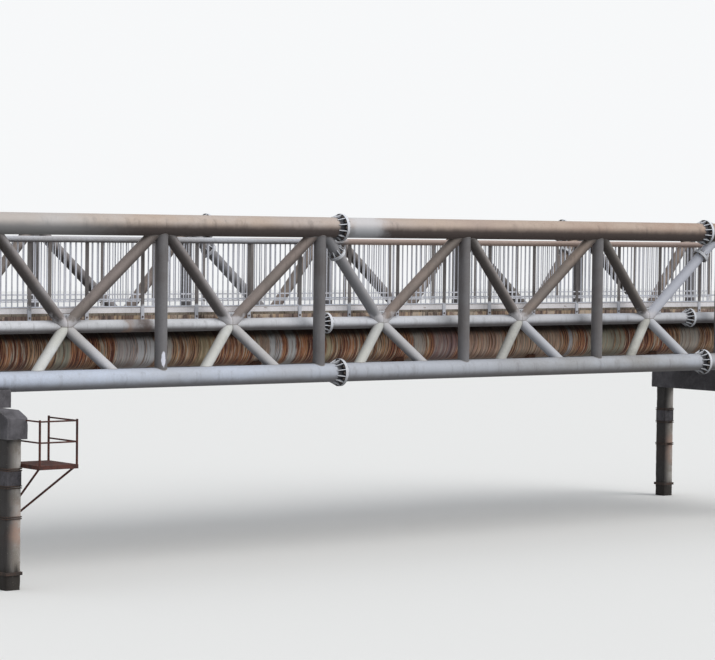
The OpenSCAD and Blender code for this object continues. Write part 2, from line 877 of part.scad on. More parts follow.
near_top_chord();
near_mid_chord();
near_bottom_chord();
near_chord_flanges();
near_verticals();
near_rising_diagonals();
near_falling_diagonals();
near_lower_left_diagonals();
near_lower_right_diagonals();
near_diagonal_flanges();
near_node_gussets();
far_node_gussets();
far_top_chord();
far_mid_chord();
far_bottom_chord();
far_chord_flanges();
far_verticals();
far_rising_diagonals();
far_falling_diagonals();
far_lower_left_diagonals();
far_lower_right_diagonals();
far_diagonal_flanges();
deck_boards();
floor_beams();
stringers();
edge_channels();
kerbs();
near_handrail();
far_handrail();
near_railing_posts();
far_railing_posts();
near_railing_infill();
far_railing_infill();
carried_pipe();
cross_beams();
pipe_saddles();
left_cap_beam();
right_cap_beam();
left_piles();
right_piles();
pile_collars();
pile_clamps();
pile_sleeves();
bearing_blocks();
platform_floor();
platform_guard_rail();
platform_braces();
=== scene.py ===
import bpy
import bmesh
import json
import math
import random
from mathutils import Matrix, Vector, noise


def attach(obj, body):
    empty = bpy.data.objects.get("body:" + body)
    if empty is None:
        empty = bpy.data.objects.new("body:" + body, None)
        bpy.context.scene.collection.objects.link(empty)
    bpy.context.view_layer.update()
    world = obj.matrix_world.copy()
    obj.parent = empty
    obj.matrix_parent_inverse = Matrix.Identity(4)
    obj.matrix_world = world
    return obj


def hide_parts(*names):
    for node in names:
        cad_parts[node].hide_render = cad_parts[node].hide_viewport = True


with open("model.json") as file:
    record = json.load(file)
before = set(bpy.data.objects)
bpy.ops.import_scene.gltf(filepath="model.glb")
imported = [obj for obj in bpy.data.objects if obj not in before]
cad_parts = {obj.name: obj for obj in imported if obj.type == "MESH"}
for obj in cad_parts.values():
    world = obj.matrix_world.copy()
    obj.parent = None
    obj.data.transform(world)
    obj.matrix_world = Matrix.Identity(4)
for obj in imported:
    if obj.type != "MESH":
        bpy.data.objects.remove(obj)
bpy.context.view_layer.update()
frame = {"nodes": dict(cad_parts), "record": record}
draw = random.Random(41)
nodes = frame["nodes"]
scene = bpy.context.scene

# Sizes of the bridge, in metres, as in the part's source
AXIS_Y = 0.190            # the bridge's centre line
SIDES = (("near", -1), ("far", 1))
BAY = 3.0
HALF_SPAN = 9.0
PANEL_XS = [i * BAY - HALF_SPAN for i in range(7)]
MID_XS = [(i + 0.5) * BAY - HALF_SPAN for i in range(6)]
TRUSS_Y, MID_Y, NODE_Y = 1.875, 1.520, 1.545
BOTTOM_Z, MID_Z, TOP_Z = 2.933, 3.709, 5.240
BOTTOM_D, MID_D, TOP_D = 0.2985, 0.1937, 0.3239
VERTICAL_D, UPPER_D, LOWER_D = 0.1937, 0.1778, 0.1683
LOWER_FOOT = 0.770        # from a node to the feet of its lower diagonals
PIPE_Z, PIPE_R = 3.285, 0.3048
PIPE_SEAM_XS = (-6.4, -0.4, 5.6)

# Flanges: a chord is its distance from the centre line, its level, its tube and its rim
SPLICE_XS = (-2.590, 5.590)
SPLICE_OFFSET = 0.410     # from a splice to the top of the jointed diagonal beside it
DIAGONAL_SPLICES = ((SPLICE_XS[0] - SPLICE_OFFSET, 1), (SPLICE_XS[1] + SPLICE_OFFSET, -1))
END_X = 9.520             # outer faces of the end flanges
CHORDS = ((TRUSS_Y, TOP_Z, TOP_D, 0.060), (MID_Y, MID_Z, MID_D, 0.070), (TRUSS_Y, BOTTOM_Z, BOTTOM_D, 0.072))
DIAGONAL_RIM = 0.054
FLANGE_T, FLANGE_EASE, FLANGE_SIDES = 0.025, 0.002, 60
GASKET, FIT = 0.0004, 0.0003
CHORD_RIBS, DIAGONAL_RIBS = 12, 8
CHORD_RIB, DIAGONAL_RIB = 0.128, 0.092
RIB_T, RIB_EASE, RIB_CLEAR = 0.012, 0.0012, 0.001
BOLT_HOLE, HOLE_SIDES = 0.022, 24
CHORD_BOLT, DIAGONAL_BOLT = 0.020, 0.016
WASHER_T, WASHER_SIDES = 0.003, 14

# Weld beads
BEAD_R, BEAD_STEPS, BEAD_RANGE, BEAD_ANGLE = 0.0065, 36, (0.80, 1.15), 1.2
SEAM_R, SEAM_STEPS, SEAM_SINK = 0.006, 48, 0.001

# Walkway and railing
DECK_Z, DECK_HALF, DECK_T = 3.900, 9.300, 0.040
DECK_EDGE = 1.3522        # outer ends of the boards, from the centre line
BOARD_PITCH, BOARD_GAP, BOARD_EASE = 0.200, 0.006, 0.0035
BOARD_COUNT = 93
BOARD_SHORT, BOARD_LOW = 0.004, 0.0015
SCREW_ROWS = (-1.32, -0.646, 0.0, 0.646, 1.32)
SCREW_STEP, SCREW_STRAY, SCREW_SINK = 0.055, 0.004, 0.0008
SCREW_HEAD = (0.007, -0.002, 0.0012, 8, 0.0055)
POST_XS = [i - HALF_SPAN for i in range(19)]
POST_T, POST_W = 0.015, 0.060
POST_BOLT, POST_BOLT_ZS = 0.016, (3.782, 3.838)
RAIL_Y = 1.360
HANDRAIL_FOOT = 4.9654
INFILL_RAIL_T, INFILL_RAIL_H, INFILL_ZS = 0.0112, 0.022, (3.996, 4.108)
BARS, BAR_T, BAR_W, BAR_STEP = 9, 0.012, 0.018, 0.100
KERB_H, KERB_T, FAR_STRIP_H = 0.078, 0.010, 0.008
KERB_LENGTHS, KERB_GAP = 6, 0.001
STRIP_EASE = 0.0015

# Pier
PILE_Y, PILE_W, PILE_TOP, PILE_EASE = 2.520, 0.250, 2.1645, 0.018
CAP_FOOT, CAP_TOP, CAP_HALF, CAP_W = 2.16475, 2.56975, 2.745, 0.340
CAP_FALL, CAP_SLOPE, CAP_EASE = 0.100, 0.240, 0.010
CAP_CELL, PILE_CELL = (0.042, 0.042, 0.042), (0.042, 0.042, 0.040)
CAP_CHIPS, PILE_CHIPS = 0.030, 0.012
HOOP_T, HOOP_H = 0.012, 0.014
HOOP_ZS = [clamp + step for clamp in (1.015, 1.455, 1.705) for step in (0.0, 0.028)]
LUG_T, LUG_REACH, LUG_EASE, LUG_GAP, LUG_INSET = 0.008, 0.040, 0.001, 0.0002, 0.001
LUG_SPREAD = 0.016        # from the middle of a clamp to the outer faces of its lugs
LUG_BOLT, LUG_BOLT_OUT = 0.010, 0.026
SKIN_WEAR, SKIN_SCALE = 0.0012, 9.0
EDGE_LOSS, BITE_SCALE, NICK_SCALE = 0.0015, 5.5, 17.0
STAIN_BAND = ((0.55, 0.80), (1.35, 1.05))
WET_BAND = (0.42, 0.18)

# Camera and light
CAMERA_PLACE = (-28.265, -35.104, 5.13)
YAW, PITCH, ROLL = 0.6619, -0.0360, 0.0113
SENSOR_W, LENS_LENGTH, VIEW_END = 36.0, 133.2, 400.0
SUN_PLACE, SUN_FROM = (0, 0, 20), (0.65, -1.2, 1.25)
SUN_POWER, SUN_ANGLE, SUN_COLOUR = 2.0, 0.9, (1.0, 0.985, 0.96)
SKY_LIGHT, SKY_POWER, SKY_SEEN = (0.93, 0.96, 1.0, 1), 0.60, (0.93, 0.94, 0.95, 1)
FLOOR_LIGHT, FLOOR_SEEN = (0.30, 0.30, 0.29, 1), (0.80, 0.80, 0.79, 1)
FLOOR_SIZE, FLOOR_ROUGH = 160.0, 0.9


# Shader groups

BUMP_STRENGTH = 0.6


def rgb(r, g, b):
    """A colour read off as 0 to 255 screen values, made linear."""
    def linear(v):
        v = v / 255
        return v / 12.92 if v <= 0.04045 else ((v + 0.055) / 1.055) ** 2.4
    return (linear(r), linear(g), linear(b), 1.0)


def shader_group(name, inputs, outputs):
    """A node group with its two end nodes. An input is a colour if its value is, an output by its name."""
    group = bpy.data.node_groups.new(name, "ShaderNodeTree")
    for label, value in inputs.items():
        kind = "NodeSocketColor" if isinstance(value, tuple) else "NodeSocketFloat"
        group.interface.new_socket(label, in_out="INPUT", socket_type=kind).default_value = value
    for label in outputs:
        kind = "NodeSocketColor" if label == "Color" else "NodeSocketFloat"
        group.interface.new_socket(label, in_out="OUTPUT", socket_type=kind)
    return group, group.nodes.new("NodeGroupInput"), group.nodes.new("NodeGroupOutput")


class Wire:
    """Adds nodes to a tree and joins them, with as few words as possible."""

    def __init__(self, tree):
        self.tree = tree

    def node(self, kind, settings=None, **links):
        made = self.tree.nodes.new(kind)
        for key, value in (settings or {}).items():
            setattr(made, key, value)
        for key, value in links.items():
            self.put(made.inputs[int(key[1:])], value)
        return made

    def group(self, tree, **values):
        made = self.node("ShaderNodeGroup", {"node_tree": tree})
        for key, value in values.items():
            self.put(made.inputs[key.replace("_", " ")], value)
        return made.outputs

    def put(self, socket, value):
        """Links or sets a socket. A colour of three numbers is a screen value."""
        if isinstance(value, bpy.types.NodeSocket):
            self.tree.links.new(value, socket)
        elif socket.type == "RGBA" and len(value) == 3:
            socket.default_value = rgb(*value)
        else:
            socket.default_value = value

    def math(self, operation, a, b=0.0, clamp=False):
        settings = {"operation": operation, "use_clamp": clamp}
        return self.node("ShaderNodeMath", settings, _0=a, _1=b).outputs[0]

    def plus(self, a, b, clamp=False):
        return self.math("ADD", a, b, clamp)

    def minus(self, a, b):
        return self.math("SUBTRACT", a, b)

    def times(self, a, b):
        return self.math("MULTIPLY", a, b)

    def ragged(self, value, texture, amount):
        """A value moved up and down by a texture that is 0.5 on average."""
        return self.plus(value, self.times(self.minus(texture, 0.5), amount))

    def between(self, value, low, high, out_low=0.0, out_high=1.0):
        made = self.node("ShaderNodeMapRange", {"interpolation_type": "SMOOTHSTEP"}, _0=value, _1=low,
                         _2=high, _3=out_low, _4=out_high)
        return made.outputs[0]

    def within(self, value, low, high, soft):
        """Mask of a value between two limits, with soft ends."""
        past_low = self.between(value, low - soft, low + soft)
        return self.times(past_low, self.between(value, high + soft, high - soft))

    def mix(self, share, a, b, blend="MIX"):
        made = self.node("ShaderNodeMix", {"data_type": "RGBA", "blend_type": blend, "clamp_factor": True})
        self.put(made.inputs[0], share)
        self.put(made.inputs[6], a)
        self.put(made.inputs[7], b)
        return made.outputs[2]

    def lay(self, colour, paint, value, low, high, share=1.0):
        """Lays paint over a colour as a value goes from low to high."""
        return self.mix(self.between(value, low, high, 0.0, share), colour, paint)

    def noise(self, place, scale, detail=4.0, rough=0.55):
        return self.node("ShaderNodeTexNoise", {"noise_dimensions": "3D"}, _0=place, _2=scale, _3=detail,
                         _4=rough).outputs[0]

    def stretch(self, place, size):
        return self.node("ShaderNodeMapping", {"vector_type": "POINT"}, _0=place, _3=size).outputs[0]

    def place(self):
        return self.node("ShaderNodeTexCoord").outputs["Object"]

    def axes(self, vector):
        """A vector's three numbers."""
        return self.node("ShaderNodeSeparateXYZ", _0=vector).outputs

    def facing(self):
        """The surface's normal, as three numbers."""
        return self.axes(self.node("ShaderNodeNewGeometry").outputs["Normal"])


def build_edge_wear():
    """Mask of the outer edges, where a finish wears off."""
    group, start, end = shader_group("edge_wear", {"Width": 0.008, "Breakup": 18.0}, ("Mask",))
    w = Wire(group)
    place = w.place()
    rounded = w.node("ShaderNodeBevel", {"samples": 4}, _0=start.outputs["Width"]).outputs[0]
    plain = w.node("ShaderNodeNewGeometry").outputs["Normal"]
    turn = w.node("ShaderNodeVectorMath", {"operation": "DOT_PRODUCT"}, _0=rounded, _1=plain).outputs["Value"]
    edge = w.between(turn, 0.995, 0.93)
    patch = w.between(w.noise(place, start.outputs["Breakup"], 5.0, 0.65), 0.36, 0.56)
    w.put(end.inputs["Mask"], w.times(edge, patch))
    return group


def build_corner_shade_and_dirt():
    """Mask of the corners and pockets, from ambient occlusion: painted shade where they lie shut in from the
    light, and dirt that rain doesn't wash.
    """
    group, start, end = shader_group("corner_shade_and_dirt", {"Reach": 0.1}, ("Mask",))
    w = Wire(group)
    # Painted shade: ambient occlusion finds where light is shut out.
    shade = w.node("ShaderNodeAmbientOcclusion", {"samples": 5}, _1=start.outputs["Reach"]).outputs["AO"]
    ragged = w.ragged(shade, w.noise(w.place(), 14.0, 5.0, 0.65), 0.35)
    w.put(end.inputs["Mask"], w.between(ragged, 0.82, 0.38))
    return group


def build_steel_paint():
    """Old paint on steel: tone drift, rain streaks, a dark underside and dark corners that are painted shade
    with dirt, and rust that breaks through.
    """
    # The dirt colour serves the rain streaks, and also the painted shade underneath and in the corners.
    group, start, end = shader_group(
        "weathered_paint_with_shade",
        {"Paint": (0.6, 0.6, 0.6, 1), "Second tone": (0.5, 0.5, 0.5, 1), "Dirt": (0.08, 0.07, 0.06, 1),
         "Rust": (0.16, 0.06, 0.025, 1), "Under": 0.8, "Streaks": 0.3, "Rust amount": 0.1, "Top dust": 0.1,
         "Dirt level": 0.02, "Corner dirt": 0.4, "Corner reach": 0.12},
        ("Color", "Roughness", "Height"))
    w = Wire(group)
    given = start.outputs
    place = w.place()
    up = w.facing()[2]
    drift = w.noise(w.stretch(place, (0.55, 0.9, 0.9)), 1.3, 5.0, 0.6)
    fine = w.noise(place, 26.0, 6.0, 0.7)
    speck = w.noise(place, 120.0, 3.0, 0.6)
    colour = w.lay(given["Paint"], given["Second tone"], drift, 0.34, 0.66)
    colour = w.lay(colour, given["Second tone"], fine, 0.30, 0.72, 0.34)
    rain = w.noise(w.stretch(place, (9.0, 9.0, 0.7)), 1.0, 5.0, 0.7)
    side = w.between(w.math("ABSOLUTE", up), 0.95, 0.45)
    streak = w.times(w.times(w.between(rain, 0.50, 0.74), side), given["Streaks"])
    colour = w.mix(streak, colour, given["Dirt"])
    # Painted shade with dirt: faces that look down darken in the dirt colour, below the dirt level, by the
    # share Under.
    ragged = w.ragged(up, w.noise(place, 5.0, 6.0, 0.7), 0.35)
    level = given["Dirt level"]
    below = w.times(w.between(ragged, level, w.minus(level, 0.80)), given["Under"])
    colour = w.mix(below, colour, given["Dirt"])
    above = w.times(w.between(ragged, 0.70, 1.0), given["Top dust"])
    colour = w.mix(above, colour, (120, 108, 98))
    patch = w.noise(w.stretch(place, (1.0, 1.0, 0.6)), 6.5, 8.0, 0.72)
    broken = w.minus(patch, w.minus(0.86, w.times(given["Rust amount"], 0.5)))
    rust = w.between(broken, 0.0, 0.05)
    halo = w.between(broken, -0.10, 0.02, 0.0, 0.45)
    colour = w.mix(halo, colour, w.mix(0.5, given["Rust"], given["Paint"]))
    colour = w.mix(rust, colour, given["Rust"])
    grain = w.mix(w.between(speck, 0.35, 0.65), (0.72, 0.72, 0.72, 1), (1.2, 1.2, 1.2, 1))
    colour = w.mix(0.35, colour, grain, "MULTIPLY")
    # Painted shade with dirt: corners and pockets darkened in the dirt colour.
    corner = w.group(CORNER_SHADE_AND_DIRT, Reach=given["Corner reach"])["Mask"]
    colour = w.mix(w.times(corner, given["Corner dirt"]), colour, given["Dirt"])
    w.put(end.inputs["Color"], colour)
    w.put(end.inputs["Roughness"], w.plus(0.52, w.times(w.plus(w.plus(rust, below), fine), 0.22), True))
    w.put(end.inputs["Height"], w.plus(w.times(fine, 0.6), w.times(rust, -0.8)))
    return group


def build_tone_map():
    """A slow change of colour along the bridge, as one stretch weathers unlike the next."""
    group, start, end = shader_group(
        "along_the_bridge",
        {"Left": (0.5, 0.5, 0.5, 1), "Right": (0.5, 0.5, 0.5, 1), "From X": -7.0, "To X": 5.0}, ("Color",))
    w = Wire(group)
    place = w.place()
    x = w.ragged(w.axes(place)[0], w.noise(place, 0.8, 4.0), 5.0)
    share = w.between(x, start.outputs["From X"], start.outputs["To X"])
    w.put(end.inputs["Color"], w.mix(share, start.outputs["Left"], start.outputs["Right"]))
    return group


EDGE_WEAR = build_edge_wear()
CORNER_SHADE_AND_DIRT = build_corner_shade_and_dirt()
STEEL_PAINT = build_steel_paint()
ALONG = build_tone_map()


# Materials

def new_material(name):
    material = bpy.data.materials.new(name)
    material.use_nodes = True
    tree = material.node_tree
    return material, Wire(tree), tree.nodes["Principled BSDF"]


def coat(w, shader, colour, rough, height, depth):
    """Gives a shader its colour, its roughness and its relief."""
    w.put(shader.inputs["Base Color"], colour)
    w.put(shader.inputs["Roughness"], rough)
    bump = w.node("ShaderNodeBump")
    bump.inputs["Strength"].default_value = BUMP_STRENGTH
    bump.inputs["Distance"].default_value = depth
    w.put(bump.inputs["Height"], height)
    w.put(shader.inputs["Normal"], bump.outputs[0])


def paint_material(name, paint, second, dirt, under, streaks, rust, dust=0.1, wear=None, right=None,
                   patches=(), level=0.02, corner=(0.45, 0.12)):
    """Weathered paint. Right is its colour at the right end; wear is a width, a share and a colour."""
    # The dirt colour is also the colour of the painted shade; under, level and corner set that shade
    # underneath and in corners.
    material, w, shader = new_material(name)
    if right:
        paint = w.group(ALONG, Left=paint, Right=right)["Color"]
    old = w.group(STEEL_PAINT, Paint=paint, Second_tone=second, Dirt=dirt, Under=under, Streaks=streaks,
                  Rust_amount=rust, Top_dust=dust, Dirt_level=level, Corner_dirt=corner[0],
                  Corner_reach=corner[1])
    colour = old["Color"]
    if wear:
        edge = w.group(EDGE_WEAR, Width=wear[0])["Mask"]
        colour = w.mix(w.times(edge, wear[1]), colour, wear[2])
    for patch in patches:
        colour = patch(w, colour)
    coat(w, shader, colour, old["Roughness"], old["Height"], 0.0012)
    return material


def rust_material(name, dark, mid, bright, scale=6.0):
    """Rusty steel in three tones, brighter along its edges."""
    material, w, shader = new_material(name)
    place = w.place()
    big = w.noise(place, scale, 7.0, 0.7)
    fine = w.noise(place, scale * 9, 6.0, 0.7)
    colour = w.lay(dark, mid, big, 0.36, 0.62)
    colour = w.lay(colour, bright, fine, 0.52, 0.70, 0.5)
    edge = w.group(EDGE_WEAR, Width=0.004, Breakup=30.0)["Mask"]
    colour = w.mix(w.times(edge, 0.5), colour, bright)
    coat(w, shader, colour, w.between(fine, 0.3, 0.7, 0.72, 0.95), fine, 0.0015)
    return material


def concrete_material(name, base, dark, pale, stain=None, foot=False, wear=0.5, top=0.6):
    """Old concrete with blow holes, stains that run down it, and on a pile a dark foot where the water stands
    and painted shade on the side that looks towards -X.
    """
    material, w, shader = new_material(name)
    place = w.place()
    x, _, height = w.axes(place)
    up = w.facing()[2]
    cloud = w.noise(place, 3.2, 7.0, 0.66)
    grain = w.noise(place, 55.0, 5.0, 0.72)
    runs = w.noise(w.stretch(place, (11.0, 11.0, 0.9)), 1.0, 5.0, 0.65)
    cells = w.node("ShaderNodeTexVoronoi", {"feature": "F1"}, _0=place, _2=34.0).outputs["Distance"]
    hole = w.times(w.between(cells, 0.17, 0.09), w.between(w.noise(place, 9.0, 3.0), 0.45, 0.60))
    colour = w.lay(base, dark, cloud, 0.34, 0.64)
    colour = w.lay(colour, dark, runs, 0.52, 0.72, 0.6)
    colour = w.lay(colour, pale, grain, 0.52, 0.75, 0.5)
    colour = w.lay(colour, pale, up, 0.35, 0.9, top)
    edge = w.group(EDGE_WEAR, Width=0.022, Breakup=9.0)["Mask"]
    colour = w.mix(w.times(edge, wear), colour, pale)
    if stain:
        band = w.times(w.between(height, *STAIN_BAND[0]), w.between(height, *STAIN_BAND[1]))
        colour = w.mix(w.times(band, w.between(cloud, 0.38, 0.58, 0.15, 0.75)), colour, stain)
    if foot:
        # Painted shade: each pile darkens across its front towards its face that looks along -X.
        across = w.minus(x, w.times(w.math("SIGN", x), HALF_SPAN))
        across = w.ragged(across, cloud, 0.16)
        colour = w.lay(colour, (40, 38, 39), across, 0.09, -0.12, 0.94)
        wet = w.between(w.ragged(height, runs, 0.5), *WET_BAND)
        colour = w.mix(w.times(wet, 0.95), colour, (34, 29, 26))
    colour = w.mix(w.times(hole, 0.8), colour, dark)
    rough = w.between(grain, 0.3, 0.7, 0.82, 0.97)
    coat(w, shader, colour, rough, w.minus(w.times(grain, 0.5), hole), 0.003)
    return material


# What is left of the pipe's pale coat: from X, to X, share, colour
COAT_STRETCHES = (
    (-6.88, -6.63, 0.75, (204, 208, 192)), (-5.77, -5.42, 0.75, (226, 226, 228)),
    (-5.42, -5.06, 0.95, (250, 250, 254)), (-4.83, -4.72, 0.80, (236, 232, 226)),
    (-4.23, -3.90, 0.60, (228, 212, 170)), (-3.09, -2.81, 0.45, (226, 216, 204)),
    (-2.81, -2.57, 0.95, (252, 252, 254)), (-2.44, -2.26, 0.95, (252, 252, 252)),
    (-1.64, -1.53, 0.75, (234, 222, 184)), (0.21, 0.48, 0.80, (232, 226, 218)),
    (0.68, 1.18, 0.55, (184, 170, 178)), (1.40, 2.30, 0.48, (236, 212, 196)),
    (2.55, 3.60, 0.46, (234, 214, 196)), (3.80, 3.90, 0.80, (222, 228, 238)),
    (4.31, 5.18, 0.70, (196, 200, 182)), (6.60, 7.10, 0.70, (220, 218, 212)))


def pipe_material():
    """Rust in thin arcs round the pipe, with stretches of what is left of a pale coat, a painted shadow along
    its top and painted shade underneath.
    """
    material, w, shader = new_material("carried_pipe_rust_and_shade")
    place = w.place()
    up = w.facing()[2]
    wide = w.noise(w.stretch(place, (5.0, 0.6, 0.6)), 1.0, 4.0, 0.6)
    arcs = w.noise(w.stretch(place, (22.0, 1.0, 1.0)), 1.0, 5.0, 0.65)
    thin = w.noise(w.stretch(place, (52.0, 1.8, 1.8)), 1.0, 3.0, 0.6)
    zones = w.noise(w.stretch(place, (1.2, 0.5, 0.5)), 1.0, 4.0, 0.55)
    fine = w.noise(place, 40.0, 6.0, 0.7)
    zone = w.between(zones, 0.43, 0.57)
    bright = w.mix(zone, (212, 140, 104), (222, 186, 152))
    dull = w.mix(zone, (136, 78, 68), (160, 116, 96))
    colour = w.lay(dull, bright, wide, 0.36, 0.62)
    colour = w.lay(colour, (250, 236, 216), arcs, 0.53, 0.59, 0.90)
    colour = w.lay(colour, (92, 52, 46), arcs, 0.47, 0.41, 0.85)
    colour = w.lay(colour, (246, 190, 142), thin, 0.54, 0.60, 0.75)
    colour = w.lay(colour, (66, 44, 42), thin, 0.46, 0.40, 0.75)
    x = w.ragged(w.axes(place)[0], w.noise(place, 3.0, 5.0, 0.7), 0.14)
    broken = w.between(arcs, 0.38, 0.48, 0.25, 1.0)
    for low_x, high_x, share, paint in COAT_STRETCHES:
        mask = w.times(w.within(x, low_x, high_x, 0.03), share)
        colour = w.mix(w.times(mask, broken), colour, paint)
    # Painted shadow on the top of the pipe, where the deck and the middle chord shade it, and painted shade
    # on its underside.
    ragged = w.ragged(up, arcs, 0.4)
    colour = w.lay(colour, (38, 30, 29), ragged, 0.36, 0.70, 0.92)
    colour = w.lay(colour, (66, 48, 40), ragged, -0.35, -0.90, 0.70)
    relief = w.plus(w.times(fine, 0.6), w.times(arcs, 0.4))
    coat(w, shader, colour, w.between(fine, 0.3, 0.7, 0.70, 0.92), relief, 0.002)
    return material


def timber_material():
    """Weathered boards that run across the bridge; every board has its own tone."""
    material, w, shader = new_material("deck_board_timber")
    place = w.place()
    board = w.math("FLOOR", w.times(w.axes(place)[0], 1 / BOARD_PITCH))
    tone = w.node("ShaderNodeTexWhiteNoise", {"noise_dimensions": "1D"}, _1=board).outputs["Value"]
    grain = w.noise(w.stretch(place, (70.0, 2.4, 24.0)), 1.0, 6.0, 0.6)
    wide = w.noise(w.stretch(place, (9.0, 0.7, 6.0)), 1.0, 4.0, 0.5)
    colour = w.lay((96, 84, 72), (146, 136, 122), grain, 0.34, 0.66)
    colour = w.lay(colour, (82, 72, 62), wide, 0.42, 0.66, 0.5)
    colour = w.lay(colour, (160, 152, 140), tone, 0.0, 1.0, 0.45)
    coat(w, shader, colour, w.between(grain, 0.3, 0.7, 0.74, 0.95), grain, 0.0016)
    return material


# Patches: each takes a colour and gives it back with one mark on it

def stretch_patch(low_x, high_x, paint, share=0.85, near_only=False, soft=0.12):
    """A stretch of another colour along a tube, with ragged ends."""
    def patch(w, colour):
        place = w.place()
        x, y = w.axes(place)[:2]
        mask = w.within(w.ragged(x, w.noise(place, 6.0, 6.0, 0.7), 0.5), low_x, high_x, soft)
        if near_only:
            mask = w.times(mask, w.between(y, 0.1, -0.1))
        return w.mix(w.times(mask, share), colour, paint)
    return patch


def splash_patch(centre, size, paint):
    """One splash of paint at a spot."""
    def patch(w, colour):
        place = w.place()
        moved = w.node("ShaderNodeMapping", {"vector_type": "TEXTURE"}, _0=place, _1=centre, _3=size)
        length = w.node("ShaderNodeVectorMath", {"operation": "LENGTH"}, _0=moved.outputs[0]).outputs["Value"]
        return w.lay(colour, paint, w.ragged(length, w.noise(place, 24.0, 5.0), 0.8), 1.1, 0.85)
    return patch


def foot_patch(pale, foot_z, reach):
    """Pale paint left at the foot of an upright."""
    def patch(w, colour):
        place = w.place()
        height = w.ragged(w.axes(place)[2], w.noise(place, 7.0, 5.0), 0.35)
        return w.lay(colour, pale, height, foot_z + reach, foot_z, 0.8)
    return patch


def rib_pocket_shade_and_dirt(w, colour):
    """Black painted shade, with dirt, on a chord between the ribs of its flanges, where the pockets lie in
    shadow.
    """
    place = w.place()
    x = w.ragged(w.axes(place)[0], w.noise(place, 30.0, 4.0), 0.05)
    # Painted shade in the pockets between the ribs.
    for joint in SPLICE_XS:
        colour = w.mix(w.within(x, joint - CHORD_RIB, joint, 0.02), colour, (40, 40, 46))
    return colour


def flange_pocket_shade_and_dirt(w, colour):
    """Black painted shade, with dirt, on the flanges' faces between the ribs, which are the faces that look
    towards -X.
    """
    return w.lay(colour, (26, 26, 32), w.facing()[0], -0.86, -0.97, 0.9)


def kerb_patch(w, colour):
    """Rust along the kerb strip's edges, and a darker tone on all that faces the walkway."""
    place = w.place()
    chips = w.noise(w.stretch(place, (5.0, 5.0, 9.0)), 1.0, 7.0, 0.72)
    colour = w.lay(colour, (128, 104, 88), chips, 0.62, 0.68, 0.6)
    inner = w.times(w.math("SIGN", w.minus(AXIS_Y, w.axes(place)[1])), w.facing()[1])
    return w.lay(colour, (104, 94, 88), inner, 0.3, 0.8, 0.75)


def edge_patch(w, colour):
    """Yellow-brown runs and dark stains down the web of the edge channel."""
    place = w.place()
    runs = w.noise(w.stretch(place, (16.0, 16.0, 1.2)), 1.0, 5.0, 0.7)
    blots = w.noise(w.stretch(place, (2.2, 2.2, 3.0)), 1.0, 5.0, 0.65)
    colour = w.lay(colour, (200, 184, 166), blots, 0.50, 0.58, 0.8)
    colour = w.lay(colour, (196, 172, 142), runs, 0.52, 0.60, 0.8)
    return w.lay(colour, (66, 54, 50), runs, 0.47, 0.38, 0.85)


# Finishes: paints are two tones and their colour of dirt and painted shade, then the share of it underneath
# as painted shade with dirt, streaks, rust and dust

# The colour of dirt, also laid underneath and in corners as painted shade.
GRIME_AND_SHADE = (62, 52, 50)
node_patch = foot_patch((206, 204, 208), MID_Z + 0.06, 0.12)
finish = {}


def painted(slot, *tones, name=None, **more):
    """Enters a paint under its slot; the material has the slot's name if none is given."""
    finish[slot] = paint_material(name or slot, *tones, **more)


painted("top_chord_paint", (190, 182, 178), (180, 162, 148), GRIME_AND_SHADE, 0.95, 0.38, 0.06, 0.12,
        right=(150, 122, 106), level=0.42, patches=(
            stretch_patch(-12.0, -7.2, (176, 178, 180), 0.45, soft=0.9),
            stretch_patch(-2.54, -1.85, (205, 208, 214), 0.62, soft=0.22), rib_pocket_shade_and_dirt))
painted("mid_chord_paint", (216, 218, 224), (188, 189, 193), GRIME_AND_SHADE, 0.8, 0.32, 0.14, 0.04,
        right=(178, 182, 192), level=0.1, patches=(
            stretch_patch(-6.46, -6.3, (136, 110, 92), 0.75, True),
            stretch_patch(-6.22, -6.00, (104, 84, 72), 0.8, True), rib_pocket_shade_and_dirt))
painted("bottom_chord_paint", (188, 197, 214), (172, 176, 185), (92, 86, 84), 0.74, 0.34, 0.08, 0.05,
        right=(140, 138, 136), patches=(rib_pocket_shade_and_dirt,))
# The flange paint takes strong painted shade with dirt in its corners and pockets.
painted("flange_paint", (232, 235, 242), (206, 208, 214), (40, 38, 42), 0.4, 0.25, 0.14, 0.05,
        wear=(0.004, 0.8, (236, 239, 245)), corner=(0.85, 0.07), patches=(flange_pocket_shade_and_dirt,))
painted("vertical_paint", (116, 115, 118), (98, 94, 94), (60, 55, 54), 0.5, 0.45, 0.1, 0.1,
        patches=(splash_patch((-6.013, -1.781, 3.215), (0.036, 0.05, 0.115), (222, 224, 236)),))
painted("upper_diagonal_paint", (146, 134, 130), (128, 119, 113), (62, 54, 52), 0.68, 0.34, 0.1, 0.1,
        right=(157, 138, 124), level=0.22,
        patches=(stretch_patch(4.4, 6.0, (198, 202, 214), 0.85, True), node_patch))
painted("lower_diagonal_paint", (214, 216, 217), (190, 190, 184), (80, 78, 80), 0.7, 0.2, 0.08, 0.05,
        right=(122, 120, 112))
painted("beam_paint", (132, 128, 124), (108, 98, 90), (56, 46, 40), 0.6, 0.4, 0.25, 0.2,
        wear=(0.005, 0.6, (110, 72, 52)))
painted("edge_rust", (150, 130, 120), (112, 88, 76), (58, 42, 36), 0.6, 0.4, 0.35, 0.1,
        wear=(0.005, 0.7, (140, 104, 80)), patches=(edge_patch,), name="edge_channel_rust")
painted("kerb_paint", (253, 251, 254), (240, 236, 238), GRIME_AND_SHADE, 0.3, 0.18, 0.08, 0.05,
        corner=(0.2, 0.06), patches=(kerb_patch,), name="kerb_strip_paint")
painted("handrail_paint", (218, 222, 232), (190, 188, 190), (70, 60, 56), 0.8, 0.2, 0.12, 0.1,
        patches=(stretch_patch(-2.1, 12.0, (176, 152, 140), 0.9),))
